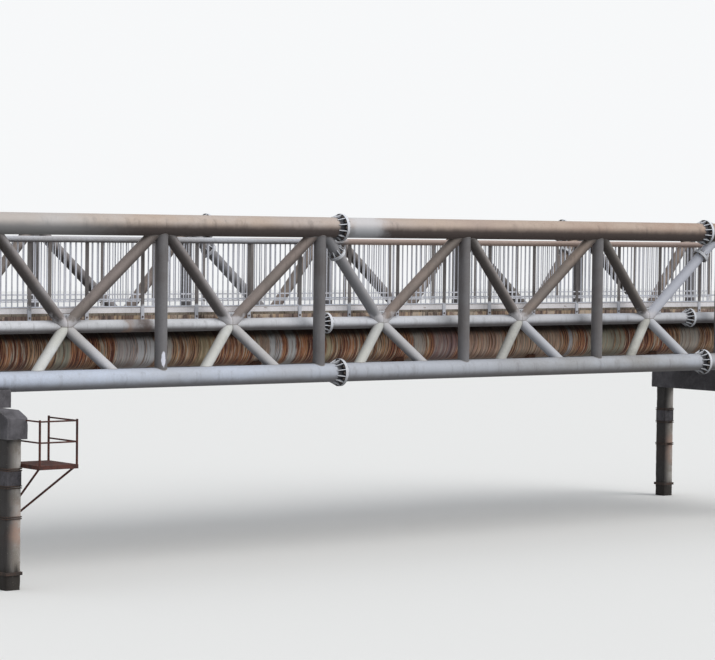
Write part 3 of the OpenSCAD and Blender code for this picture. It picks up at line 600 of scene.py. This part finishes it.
painted("post_paint", (128, 124, 124), (102, 96, 94), (54, 48, 46), 0.5, 0.5, 0.2, 0.1,
        wear=(0.004, 0.5, (160, 156, 156)), patches=(foot_patch((226, 229, 238), 3.98, 0.06),),
        name="railing_post_paint")
painted("infill_paint", (222, 226, 238), (198, 200, 208), (94, 88, 88), 0.4, 0.25, 0.12, 0.05,
        corner=(0.25, 0.05), name="railing_infill_paint")
finish.update({
    "deck_timber": timber_material(),
    "pipe_rust": pipe_material(),
    "saddle_rust": rust_material("saddle_rust", (54, 36, 30), (92, 58, 42), (134, 84, 54)),
    "band_rust": rust_material("pile_band_rust", (44, 38, 36), (70, 56, 50), (112, 78, 60)),
    "platform_rust": rust_material("platform_rust", (48, 28, 26), (84, 46, 38), (124, 72, 52), 8.0),
    "cap_concrete": concrete_material(
        "cap_concrete", (100, 98, 103), (70, 68, 72), (132, 131, 133), wear=0.55, top=0.0),
    "pile_concrete": concrete_material(
        "pile_concrete", (186, 182, 178), (134, 127, 120), (212, 210, 206), stain=(176, 146, 132),
        foot=True, wear=0.4),
})
node_finish = {
    "falling_diagonals": paint_material(
        "falling_diagonal_paint", (166, 164, 168), (136, 128, 126), (58, 52, 50), 0.88, 0.3, 0.1,
        right=(150, 144, 138), level=0.3, patches=(
            stretch_patch(-3.0, -1.5, (158, 160, 166), 0.5),
            stretch_patch(2.8, 4.7, (70, 64, 60), 0.4), node_patch)),
    "lower_right_diagonals": paint_material(
        "lower_right_diagonal_paint", (204, 205, 212), (176, 174, 174), (80, 78, 82), 0.7, 0.2,
        0.08, 0.05, right=(146, 143, 140), patches=(stretch_patch(1.2, 7.0, (186, 190, 200), 0.6),)),
    "sleeves": rust_material("pile_sleeve_steel", (54, 52, 56), (84, 82, 88), (116, 110, 110)),
}
bolt_steel = rust_material("flange_bolt_steel", (70, 62, 58), (104, 92, 84), (150, 138, 128), 40.0)
weld_steel = paint_material(
    "weld_bead_paint", (172, 170, 170), (140, 134, 130), (60, 52, 48), 0.6, 0.3, 0.3)

slot_of = {row["node"]: row["material_slot"] for row in frame["record"]["subparts"]}
for name, obj in nodes.items():
    own = node_finish.get(name.partition("_")[2], finish[slot_of[name]])
    for i in range(len(obj.material_slots)):
        obj.material_slots[i].material = own


# Mesh helpers

def show(name, data):
    """A new object in the scene, at the origin."""
    obj = bpy.data.objects.new(name, data)
    scene.collection.objects.link(obj)
    return obj


def face_out(bm):
    bmesh.ops.recalc_face_normals(bm, faces=bm.faces[:])


def whole(bm):
    return bm.verts[:] + bm.edges[:] + bm.faces[:]


def as_mesh(bm, name):
    """Ends a bmesh and gives its mesh."""
    mesh = bpy.data.meshes.new(name)
    bm.to_mesh(mesh)
    bm.free()
    return mesh


def pour(bm, mesh):
    """Adds a mesh that is used only once."""
    bm.from_mesh(mesh)
    bpy.data.meshes.remove(mesh)


def piece(name, bm, slot, material=None, replaces=(), smooth=0.6):
    """Turns a bmesh into a piece that rides on the bridge, in its slot's finish if none is given."""
    face_out(bm)
    mesh = as_mesh(bm, name)
    mesh.materials.append(material or finish[slot])
    for polygon in mesh.polygons:
        polygon.use_smooth = True
    mesh.set_sharp_from_angle(angle=smooth)
    obj = show(name, mesh)
    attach(obj, "root")
    if replaces:
        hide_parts(*replaces)


def disc(bm, radius, low, high, sides, top=None, turn=0.0):
    """A closed disc, prism or cone from one level to another."""
    bmesh.ops.create_cone(
        bm, cap_ends=True, segments=sides, radius1=radius, radius2=radius if top is None else top,
        depth=high - low, matrix=Matrix.Translation((0, 0, (low + high) / 2)) @ Matrix.Rotation(turn, 4, "Z"))


def prototype(*discs):
    """A small shape of discs, made once and placed many times."""
    bm = bmesh.new()
    for each in discs:
        disc(bm, *each)
    face_out(bm)
    return as_mesh(bm, "shape")


def stamp(bm, shape, matrix):
    """Places a copy of a shape."""
    copy = shape.copy()
    copy.transform(matrix)
    pour(bm, copy)


def ease(bm, edges, width):
    """Takes the sharpness off edges."""
    bmesh.ops.bevel(bm, geom=edges, offset=width, segments=1, profile=0.5, affect="EDGES", material=-1)


def block(bm, low, high, eased=0.0):
    """A box between two corners, with its edges eased."""
    low, high = Vector(low), Vector(high)
    made = bmesh.ops.create_cube(
        bm, size=1.0, matrix=Matrix.Translation((low + high) / 2) @ Matrix.Diagonal((*(high - low), 1.0)))
    if eased:
        ease(bm, list({e for v in made["verts"] for e in v.link_edges}), eased)


def push(bm, verts, way):
    """Pushes the face between some corners into a solid; gives all the solid's corners."""
    pushed = bmesh.ops.extrude_face_region(bm, geom=[bm.faces.new(verts)])["geom"]
    moved = [v for v in pushed if isinstance(v, bmesh.types.BMVert)]
    bmesh.ops.translate(bm, verts=moved, vec=way)
    return verts + moved


def axis_matrix(point, direction):
    """Puts +Z along a direction, at a point."""
    return Matrix.Translation(point) @ Vector(direction).to_track_quat("Z", "Y").to_matrix().to_4x4()


def around(count, radius):
    """Points at even steps round +Z."""
    angles = [i * math.tau / count for i in range(count)]
    return [Vector((math.cos(a) * radius, math.sin(a) * radius, 0)) for a in angles]


def on_side(side, x, y, z):
    """A point measured from the bridge's centre line, on the near or the far side."""
    return Vector((x, AXIS_Y + side * y, z))


def node_point(side, x_mid):
    """Where the diagonals meet on the middle chord."""
    return on_side(side, x_mid, NODE_Y, MID_Z)


def panel_point(side, x):
    """Where a vertical and the upper diagonals meet the top chord."""
    return on_side(side, x, TRUSS_Y, TOP_Z)


# Flanges and their bolts

def bolt_shape(shank):
    """One bolt through a pair of flanges: head and washer above, washer, nut and thread below."""
    half = FLANGE_T + GASKET / 2
    face = half + WASHER_T
    washer, flats = shank * 0.97, shank * 0.925
    head, tip, nut, thread = shank * 0.5, shank * 0.62, shank * 0.8, shank * 1.35
    return prototype(
        (washer, half, face, WASHER_SIDES),
        (flats, face, face + head, 6),
        (flats * 0.98, face + head, face + tip, 6, flats * 0.80),
        (washer, -face, -half, WASHER_SIDES),
        (flats, -face - nut, -face, 6, flats, 0.4),
        (shank / 2, -face - thread, -face - nut, 10))


def diagonal_line(side, x, lean):
    """The top of a jointed diagonal, and the way from there to its node."""
    top = panel_point(side, x)
    return top, node_point(side, x + lean * BAY / 2) - top


def diagonal_joint(side, x, lean):
    """Puts +Z towards the node, at the joint of a diagonal."""
    top, run = diagonal_line(side, x, lean)
    return axis_matrix(top + run * SPLICE_OFFSET / (BAY / 2), run)


def drill(mesh, radius, count):
    """Cuts the bolt holes of a flange."""
    drills = bmesh.new()
    for i in range(count):
        place = Matrix.Rotation(i * math.tau / count, 4, "Z") @ Matrix.Translation((radius, 0, FLANGE_T / 2))
        bmesh.ops.create_cone(drills, cap_ends=True, segments=HOLE_SIDES, radius1=BOLT_HOLE / 2,
                              radius2=BOLT_HOLE / 2, depth=2 * FLANGE_T, matrix=place)
    cutter_mesh = as_mesh(drills, "drills")
    holder, cutter = show("ring", mesh), show("drills", cutter_mesh)
    cut = holder.modifiers.new("drilled", "BOOLEAN")
    cut.operation = "DIFFERENCE"
    cut.solver = "EXACT"
    cut.object = cutter
    drilled = bpy.data.meshes.new_from_object(holder.evaluated_get(bpy.context.evaluated_depsgraph_get()))
    for obj in (holder, cutter):
        bpy.data.objects.remove(obj)
    for used in (mesh, cutter_mesh):
        bpy.data.meshes.remove(used)
    return drilled


def ring_shape(d, rim, holes=0):
    """A flange disc with eased edges; its joint face is at the foot. An end flange is drilled."""
    inner, outer, foot, ease_r = d / 2 + FIT, d / 2 + rim, GASKET / 2, d / 2 + rim - FLANGE_EASE
    corners = ((inner, foot), (ease_r, foot), (outer, foot + FLANGE_EASE), (outer, FLANGE_T - FLANGE_EASE),
               (ease_r, FLANGE_T), (inner, FLANGE_T))
    bm = bmesh.new()
    verts = [bm.verts.new((r, 0, z)) for r, z in corners]
    edges = [bm.edges.new(pair) for pair in zip(verts, verts[1:] + verts[:1])]
    bmesh.ops.spin(bm, geom=verts + edges, axis=(0, 0, 1), angle=math.tau, steps=FLANGE_SIDES, use_merge=True)
    face_out(bm)
    mesh = as_mesh(bm, "ring")
    return drill(mesh, d / 2 + rim / 2, holes) if holes else mesh


def rib_shape(d, rim, count, length):
    """The ribs from a flange's back face up the tube."""
    inner, outer = d / 2 + FIT, d / 2 + rim - RIB_T / 2
    corners = ((inner, FLANGE_T), (outer, FLANGE_T), (outer, FLANGE_T + RIB_T / 2),
               (d / 2 + RIB_T, FLANGE_T + length), (inner, FLANGE_T + length))
    bm = bmesh.new()
    for i in range(count):
        rib = push(bm, [bm.verts.new((r, -RIB_T / 2, z)) for r, z in corners], (0, RIB_T, 0))
        bmesh.ops.rotate(bm, verts=rib, matrix=Matrix.Rotation((i + 0.5) * math.tau / count, 3, "Z"))
    face_out(bm)
    ease(bm, bm.edges[:], RIB_EASE)
    return as_mesh(bm, "ribs")


def stamp_clear(bm, shape, matrix, place, normal):
    """Places a shape and cuts off what lies beyond a plane, where a diagonal passes."""
    part = bmesh.new()
    part.from_mesh(shape)
    bmesh.ops.transform(part, matrix=matrix, verts=part.verts[:])
    cut = bmesh.ops.bisect_plane(
        part, geom=whole(part), plane_co=place, plane_no=normal, clear_inner=True)["geom_cut"]
    bmesh.ops.holes_fill(part, edges=[e for e in cut if isinstance(e, bmesh.types.BMEdge)])
    pour(bm, as_mesh(part, "cut"))


def chord_flange_piece(side):
    """Flanges of the three chords: one ribbed and one plain at each splice, one at each end."""
    bm = bmesh.new()
    for (y, z, _, _), (ring, drilled, ribs) in zip(CHORDS, chord_parts):
        for x in SPLICE_XS:
            spot = on_side(side, x, y, z)
            ribbed = axis_matrix(spot, (-1, 0, 0))
            stamp(bm, ring, ribbed)
            stamp(bm, ring, axis_matrix(spot, (1, 0, 0)))
            if z == TOP_Z and x == SPLICE_XS[0]:
                top, run = diagonal_line(side, *DIAGONAL_SPLICES[0])
                run.normalize()
                above = (Vector((0, 0, 1)) - run * run.z).normalized()
                stamp_clear(bm, ribs, ribbed, top + above * (UPPER_D / 2 + RIB_CLEAR), above)
            else:
                stamp(bm, ribs, ribbed)
        left_end = axis_matrix(on_side(side, -END_X, y, z), (1, 0, 0))
        right_end = axis_matrix(on_side(side, END_X, y, z), (-1, 0, 0))
        stamp(bm, drilled, left_end)
        stamp(bm, drilled, right_end)
        stamp(bm, ribs, right_end)
    return bm


def diagonal_flange_piece(side):
    """A plain and a ribbed flange at the joint of each jointed diagonal."""
    bm = bmesh.new()
    for x, lean in DIAGONAL_SPLICES:
        joint = diagonal_joint(side, x, lean)
        back = joint @ Matrix.Rotation(math.pi, 4, "X")
        for shape, matrix in ((diagonal_ring, joint), (diagonal_ring, back), (diagonal_ribs, back)):
            stamp(bm, shape, matrix)
    return bm


def flange_bolts(side):
    """A ring of bolts through every pair of flanges, each turned its own way in the chords."""
    bm = bmesh.new()
    for x in SPLICE_XS:
        for y, z, d, rim in CHORDS:
            for point in around(CHORD_RIBS, d / 2 + rim / 2):
                spot = on_side(side, x, y, z) + Vector((0, point.y, point.x))
                turn = Matrix.Rotation(draw.uniform(0, 1), 4, "Z")
                stamp(bm, chord_bolt, axis_matrix(spot, (-1, 0, 0)) @ turn)
    for x, lean in DIAGONAL_SPLICES:
        joint = diagonal_joint(side, x, lean)
        for point in around(DIAGONAL_RIBS, UPPER_D / 2 + DIAGONAL_RIM / 2):
            stamp(bm, diagonal_bolt, joint @ Matrix.Translation(point))
    return bm


chord_bolt, diagonal_bolt = bolt_shape(CHORD_BOLT), bolt_shape(DIAGONAL_BOLT)
chord_parts = [(ring_shape(d, rim), ring_shape(d, rim, CHORD_RIBS), rib_shape(d, rim, CHORD_RIBS, CHORD_RIB))
               for y, z, d, rim in CHORDS]
diagonal_ring = ring_shape(UPPER_D, DIAGONAL_RIM)
diagonal_ribs = rib_shape(UPPER_D, DIAGONAL_RIM, DIAGONAL_RIBS, DIAGONAL_RIB)
for side_name, side in SIDES:
    for kind, build in (("chord", chord_flange_piece), ("diagonal", diagonal_flange_piece)):
        piece(f"{side_name}_ribbed_{kind}_flanges", build(side), "flange_paint",
              replaces=(f"{side_name}_{kind}_flanges",))
    piece(side_name + "_flange_bolts", flange_bolts(side), "flange_paint", bolt_steel)


# Weld beads

def first_root(across, run, radius):
    """How far along a ray a round surface lies, with both seen along its axis."""
    a, b = run.length_squared, across.dot(run)
    inside = b * b - a * (across.length_squared - radius ** 2)
    return math.inf if inside < 0 else (-b - math.sqrt(inside)) / a


def meets_tube(centre, axis, d):
    """Gives how far along a ray a tube lies."""
    def flat(vector):
        return vector - axis * vector.dot(axis)

    def distance(point, ahead):
        return first_root(flat(point - centre), flat(ahead), d / 2)
    return distance


def meets_plane(place, normal):
    """Gives how far along a ray a plane lies."""
    def distance(point, ahead):
        return (place - point).dot(normal) / ahead.dot(normal)
    return distance


def ring_line(centre, axis, radius, steps):
    """A closed line round an axis."""
    turned = axis_matrix(centre, axis)
    return [turned @ point for point in around(steps, radius)]


def cope_line(start, end, d, stops):
    """The closed line on a tube's surface where it first meets what it is welded to."""
    ahead = (end - start).normalized()
    return [point + ahead * min(stop(point, ahead) for stop in stops)
            for point in ring_line(start, ahead, d / 2, BEAD_STEPS)]


def bead_mesh(lines, radius):
    """Beads of uneven thickness along closed lines."""
    curve = bpy.data.curves.new("beads", "CURVE")
    curve.dimensions = "3D"
    curve.bevel_depth = radius
    curve.bevel_resolution = 1
    for line in lines:
        spline = curve.splines.new("POLY")
        spline.points.add(len(line) - 1)
        for point, place in zip(spline.points, line):
            point.co = (*place, 1.0)
            point.radius = draw.uniform(*BEAD_RANGE)
        spline.use_cyclic_u = True
    holder = bpy.data.objects.new("beads", curve)
    bm = bmesh.new()
    pour(bm, bpy.data.meshes.new_from_object(holder))
    bpy.data.objects.remove(holder)
    bpy.data.curves.remove(curve)
    return bm


def truss_welds(side):
    """The welds of one side: verticals to chords, and diagonals to chords, verticals and one another."""
    across, upright = Vector((1, 0, 0)), Vector((0, 0, 1))
    top, middle, bottom = [meets_tube(on_side(side, 0, y, z), across, d) for y, z, d, _ in CHORDS]
    lines = []
    for x in PANEL_XS:
        centre = on_side(side, x, TRUSS_Y, (TOP_Z + BOTTOM_Z) / 2)
        lines += [cope_line(centre, centre + upright, VERTICAL_D, [top]),
                  cope_line(centre, centre - upright, VERTICAL_D, [bottom])]
    for x in MID_XS:
        node = node_point(side, x)
        at_node = [middle, meets_plane(node, across), meets_plane(node, upright)]
        for lean in (-1, 1):
            panel_x = x + lean * BAY / 2
            panel = panel_point(side, panel_x)
            vertical = meets_tube(on_side(side, panel_x, TRUSS_Y, 0), upright, VERTICAL_D)
            foot = on_side(side, x + lean * LOWER_FOOT, TRUSS_Y, BOTTOM_Z)
            upper, lower = (node + panel) / 2, (node + foot) / 2
            lines += [cope_line(upper, panel, UPPER_D, [top, vertical]),
                      cope_line(upper, node, UPPER_D, at_node),
                      cope_line(lower, foot, LOWER_D, [bottom]),
                      cope_line(lower, node, LOWER_D, at_node)]
    return lines


for side_name, side in SIDES:
    piece(side_name + "_weld_beads", bead_mesh(truss_welds(side), BEAD_R), "vertical_paint", weld_steel,
          smooth=BEAD_ANGLE)
seams = [ring_line(on_side(1, x, 0, PIPE_Z), (1, 0, 0), PIPE_R - SEAM_SINK, SEAM_STEPS)
         for x in PIPE_SEAM_XS]
piece("pipe_girth_welds", bead_mesh(seams, SEAM_R), "pipe_rust", smooth=BEAD_ANGLE)


# Walkway boards

def board_x(i):
    return (i + 0.5) * BOARD_PITCH - DECK_HALF


def walkway_boards():
    """Boards across the bridge, no two of quite the same length or level."""
    bm = bmesh.new()
    half = (BOARD_PITCH - BOARD_GAP) / 2
    for i in range(BOARD_COUNT):
        x = board_x(i)
        near = AXIS_Y - (DECK_EDGE - draw.uniform(0, BOARD_SHORT))
        far = AXIS_Y + DECK_EDGE - draw.uniform(0, BOARD_SHORT)
        top = DECK_Z - draw.uniform(0, BOARD_LOW)
        block(bm, (x - half, near, DECK_Z - DECK_T), (x + half, far, top), BOARD_EASE)
    return bm


def board_screws():
    """A pair of screw heads over every stringer and edge channel."""
    head = prototype(SCREW_HEAD)
    bm = bmesh.new()
    for i in range(BOARD_COUNT):
        for y in SCREW_ROWS:
            for step in (-SCREW_STEP, SCREW_STEP):
                x = board_x(i) + step + draw.uniform(-SCREW_STRAY, SCREW_STRAY)
                spot = (x, AXIS_Y + y + draw.uniform(-SCREW_STRAY, SCREW_STRAY), DECK_Z - SCREW_SINK)
                stamp(bm, head, Matrix.Translation(spot))
    return bm


piece("walkway_boards", walkway_boards(), "deck_timber", replaces=("deck_boards",))
piece("walkway_screws", board_screws(), "edge_rust", bolt_steel)


# Railing infill and kerb strips

def railing_infill(side):
    """Two rails and nine bars between each pair of posts; the bars run up to the handrail."""
    bm = bmesh.new()
    y = AXIS_Y + side * RAIL_Y
    rail_t, rail_h, bar_t, bar_w = INFILL_RAIL_T / 2, INFILL_RAIL_H / 2, BAR_T / 2, BAR_W / 2
    foot = INFILL_ZS[0] - rail_h
    for post, following in zip(POST_XS, POST_XS[1:]):
        low, high = post + POST_W / 2 + FIT, following - POST_W / 2 - FIT
        for z in INFILL_ZS:
            block(bm, (low, y - rail_t, z - rail_h), (high, y + rail_t, z + rail_h), STRIP_EASE)
        for k in range(1, BARS + 1):
            x = post + k * BAR_STEP
            block(bm, (x - bar_w, y - bar_t, foot), (x + bar_w, y + bar_t, HANDRAIL_FOOT), STRIP_EASE)
    return bm


def kerb_strips():
    """An upright strip along the near ends of the boards, and a low one along the far ends."""
    bm = bmesh.new()
    near, far = AXIS_Y - DECK_EDGE, AXIS_Y + DECK_EDGE
    length = 2 * DECK_HALF / KERB_LENGTHS
    for i in range(KERB_LENGTHS):
        low, high = i * length - DECK_HALF + KERB_GAP / 2, (i + 1) * length - DECK_HALF - KERB_GAP / 2
        block(bm, (low, near, DECK_Z), (high, near + KERB_T, DECK_Z + KERB_H), STRIP_EASE)
        block(bm, (low, far - KERB_T, DECK_Z), (high, far, DECK_Z + FAR_STRIP_H), STRIP_EASE)
    return bm


for side_name, side in SIDES:
    piece(side_name + "_infill_panels", railing_infill(side), "infill_paint",
          replaces=(side_name + "_railing_infill",))
piece("kerb_strips", kerb_strips(), "kerb_paint", replaces=("kerbs",))


# Fastenings

def hex_bolt(shank):
    """The head of a bolt on its washer, with its chamfer."""
    head, tip = WASHER_T + shank * 0.45, WASHER_T + shank * 0.60
    return prototype(
        (shank * 1.05, 0.0, WASHER_T, WASHER_SIDES),
        (shank * 0.88, WASHER_T, head, 6),
        (shank * 0.86, head, tip, 6, shank * 0.68))


def railing_post_bolts():
    """Two bolts through the foot of every railing post, each turned its own way."""
    head = hex_bolt(POST_BOLT)
    bm = bmesh.new()
    for _, side in SIDES:
        for x in POST_XS:
            for z in POST_BOLT_ZS:
                spot = on_side(side, x, RAIL_Y + POST_T / 2, z)
                stamp(bm, head, axis_matrix(spot, (0, side, 0)) @ Matrix.Rotation(draw.uniform(0, 1), 4, "Z"))
    return bm


def clamp_lugs():
    """Two lugs drawn together by a bolt, on the inner face of every hoop."""
    head = hex_bolt(LUG_BOLT)
    pin = prototype((LUG_BOLT / 2, -LUG_SPREAD, LUG_SPREAD, 8))
    bm = bmesh.new()
    reach = PILE_W / 2 + HOOP_T
    for x in (-HALF_SPAN, HALF_SPAN):
        for _, side in SIDES:
            for foot in HOOP_ZS:
                ends = [AXIS_Y + side * (PILE_Y - reach - out) for out in (LUG_GAP, LUG_REACH)]
                low_z, high_z = foot + LUG_INSET, foot + HOOP_H - LUG_INSET
                for low_x in (x - LUG_SPREAD, x + LUG_SPREAD - LUG_T):
                    block(bm, (low_x, min(ends), low_z), (low_x + LUG_T, max(ends), high_z), LUG_EASE)
                spot = on_side(side, x, PILE_Y - reach - LUG_BOLT_OUT, foot + HOOP_H / 2)
                for way in (Vector((1, 0, 0)), Vector((-1, 0, 0))):
                    stamp(bm, head, axis_matrix(spot + way * LUG_SPREAD, way))
                stamp(bm, pin, axis_matrix(spot, (1, 0, 0)))
    return bm


piece("railing_post_bolts", railing_post_bolts(), "post_paint", bolt_steel)
piece("pile_clamp_lugs", clamp_lugs(), "band_rust")


# Worn concrete

def slice_up(bm, low, high, cell):
    """Cuts a solid into even cells, so that its faces can be worn."""
    for axis in range(3):
        count = max(1, round((high[axis] - low[axis]) / cell[axis]))
        normal = Vector([1.0 if i == axis else 0.0 for i in range(3)])
        for i in range(1, count):
            place = Vector(low)
            place[axis] = low[axis] + (high[axis] - low[axis]) * i / count
            bmesh.ops.bisect_plane(bm, geom=whole(bm), plane_co=place, plane_no=normal, dist=1e-5)


def wear_away(bm, low_z, high_z, chips, seed):
    """Moves the skin inwards: a little on the flats and in bites along the edges. The ends stay level."""
    bm.normal_update()
    moves = []
    for v in bm.verts:
        n = v.normal.copy()
        flat = max(abs(n.x), abs(n.y), abs(n.z))
        spot = v.co + Vector((seed, 2 * seed, 0))
        depth = SKIN_WEAR * (1 + noise.noise(spot * SKIN_SCALE))
        if flat < 0.97:
            bite = max(0.0, noise.noise(spot * BITE_SCALE) + 0.5 * noise.noise(spot * NICK_SCALE) - 0.02)
            depth += chips * min(1.0, bite) + EDGE_LOSS
        if v.co.z < low_z + 1e-4 or v.co.z > high_z - 1e-4:
            n.z = 0.0
        moves.append((v, n * depth))
    for v, move in moves:
        v.co -= move


def worn_cap(x):
    """A cap beam: its outline seen along the bridge, pushed through its width."""
    low_x, high_x = x - CAP_W / 2, x + CAP_W / 2
    brow, flat = CAP_TOP - CAP_FALL, CAP_HALF - CAP_SLOPE
    outline = ((-CAP_HALF, CAP_FOOT), (CAP_HALF, CAP_FOOT), (CAP_HALF, brow), (flat, CAP_TOP),
               (-flat, CAP_TOP), (-CAP_HALF, brow))
    bm = bmesh.new()
    push(bm, [bm.verts.new((low_x, AXIS_Y + y, z)) for y, z in outline], (CAP_W, 0, 0))
    face_out(bm)
    ease(bm, bm.edges[:], CAP_EASE)
    slice_up(bm, (low_x, AXIS_Y - CAP_HALF, CAP_FOOT), (high_x, AXIS_Y + CAP_HALF, CAP_TOP), CAP_CELL)
    wear_away(bm, CAP_FOOT, CAP_TOP, CAP_CHIPS, x)
    return bm


def worn_piles(x):
    """The two piles of one pier, with their upright edges eased."""
    bm = bmesh.new()
    half = Vector((PILE_W / 2, PILE_W / 2, 0))
    for _, side in SIDES:
        pile = bmesh.new()
        low, high = on_side(side, x, PILE_Y, 0) - half, on_side(side, x, PILE_Y, PILE_TOP) + half
        block(pile, low, high)
        ease(pile, [e for e in pile.edges if abs(e.verts[0].co.z - e.verts[1].co.z) > 0.1], PILE_EASE)
        face_out(pile)
        slice_up(pile, low, high, PILE_CELL)
        wear_away(pile, 0, PILE_TOP, PILE_CHIPS, x + side)
        pour(bm, as_mesh(pile, "pile"))
    return bm


for end, x in (("left", -HALF_SPAN), ("right", HALF_SPAN)):
    piece(end + "_worn_cap", worn_cap(x), "cap_concrete", replaces=(end + "_cap_beam",))
    piece(end + "_worn_piles", worn_piles(x), "pile_concrete", replaces=(end + "_piles",))


# Camera, light, floor

ahead = Vector((math.sin(YAW) * math.cos(PITCH), math.cos(YAW) * math.cos(PITCH), math.sin(PITCH)))
level = Vector((math.cos(YAW), -math.sin(YAW), 0))
upright = level.cross(ahead)
right = level * math.cos(ROLL) + upright * math.sin(ROLL)
upward = upright * math.cos(ROLL) - level * math.sin(ROLL)
lens = bpy.data.cameras.new("view_camera")
lens.sensor_width = SENSOR_W
lens.lens = LENS_LENGTH
lens.clip_end = VIEW_END
camera = show("view_camera", lens)
camera.matrix_world = Matrix.Translation(CAMERA_PLACE) @ Matrix((right, upward, -ahead)).transposed().to_4x4()
scene.camera = camera
scene.view_settings.view_transform = "Standard"


def seen_rays(w):
    """The rays that show a surface or the sky: straight from the camera, mirrored or through glass."""
    rays = w.node("ShaderNodeLightPath").outputs
    seen = w.plus(rays["Is Camera Ray"], rays["Is Glossy Ray"])
    return w.plus(seen, rays["Is Transmission Ray"], True)


world = bpy.data.worlds.new("studio")
scene.world = world
world.use_nodes = True
world.node_tree.nodes.clear()
w = Wire(world.node_tree)
soft = w.node("ShaderNodeBackground", _0=SKY_LIGHT, _1=SKY_POWER).outputs[0]
seen = w.node("ShaderNodeBackground", _0=SKY_SEEN, _1=1.0).outputs[0]
both = w.node("ShaderNodeMixShader", _0=seen_rays(w), _1=soft, _2=seen).outputs[0]
w.node("ShaderNodeOutputWorld", _0=both)

sun = bpy.data.lights.new("soft_sun", "SUN")
sun.energy = SUN_POWER
sun.angle = SUN_ANGLE
sun.color = SUN_COLOUR
show("soft_sun", sun).matrix_world = axis_matrix(SUN_PLACE, SUN_FROM)

bm = bmesh.new()
bmesh.ops.create_grid(bm, x_segments=1, y_segments=1, size=FLOOR_SIZE)
floor_mesh = as_mesh(bm, "floor")
floor = show("floor", floor_mesh)
floor_material, w, shader = new_material("pale_floor")
w.put(shader.inputs["Base Color"], w.mix(seen_rays(w), FLOOR_LIGHT, FLOOR_SEEN))
shader.inputs["Roughness"].default_value = FLOOR_ROUGH
floor_mesh.materials.append(floor_material)
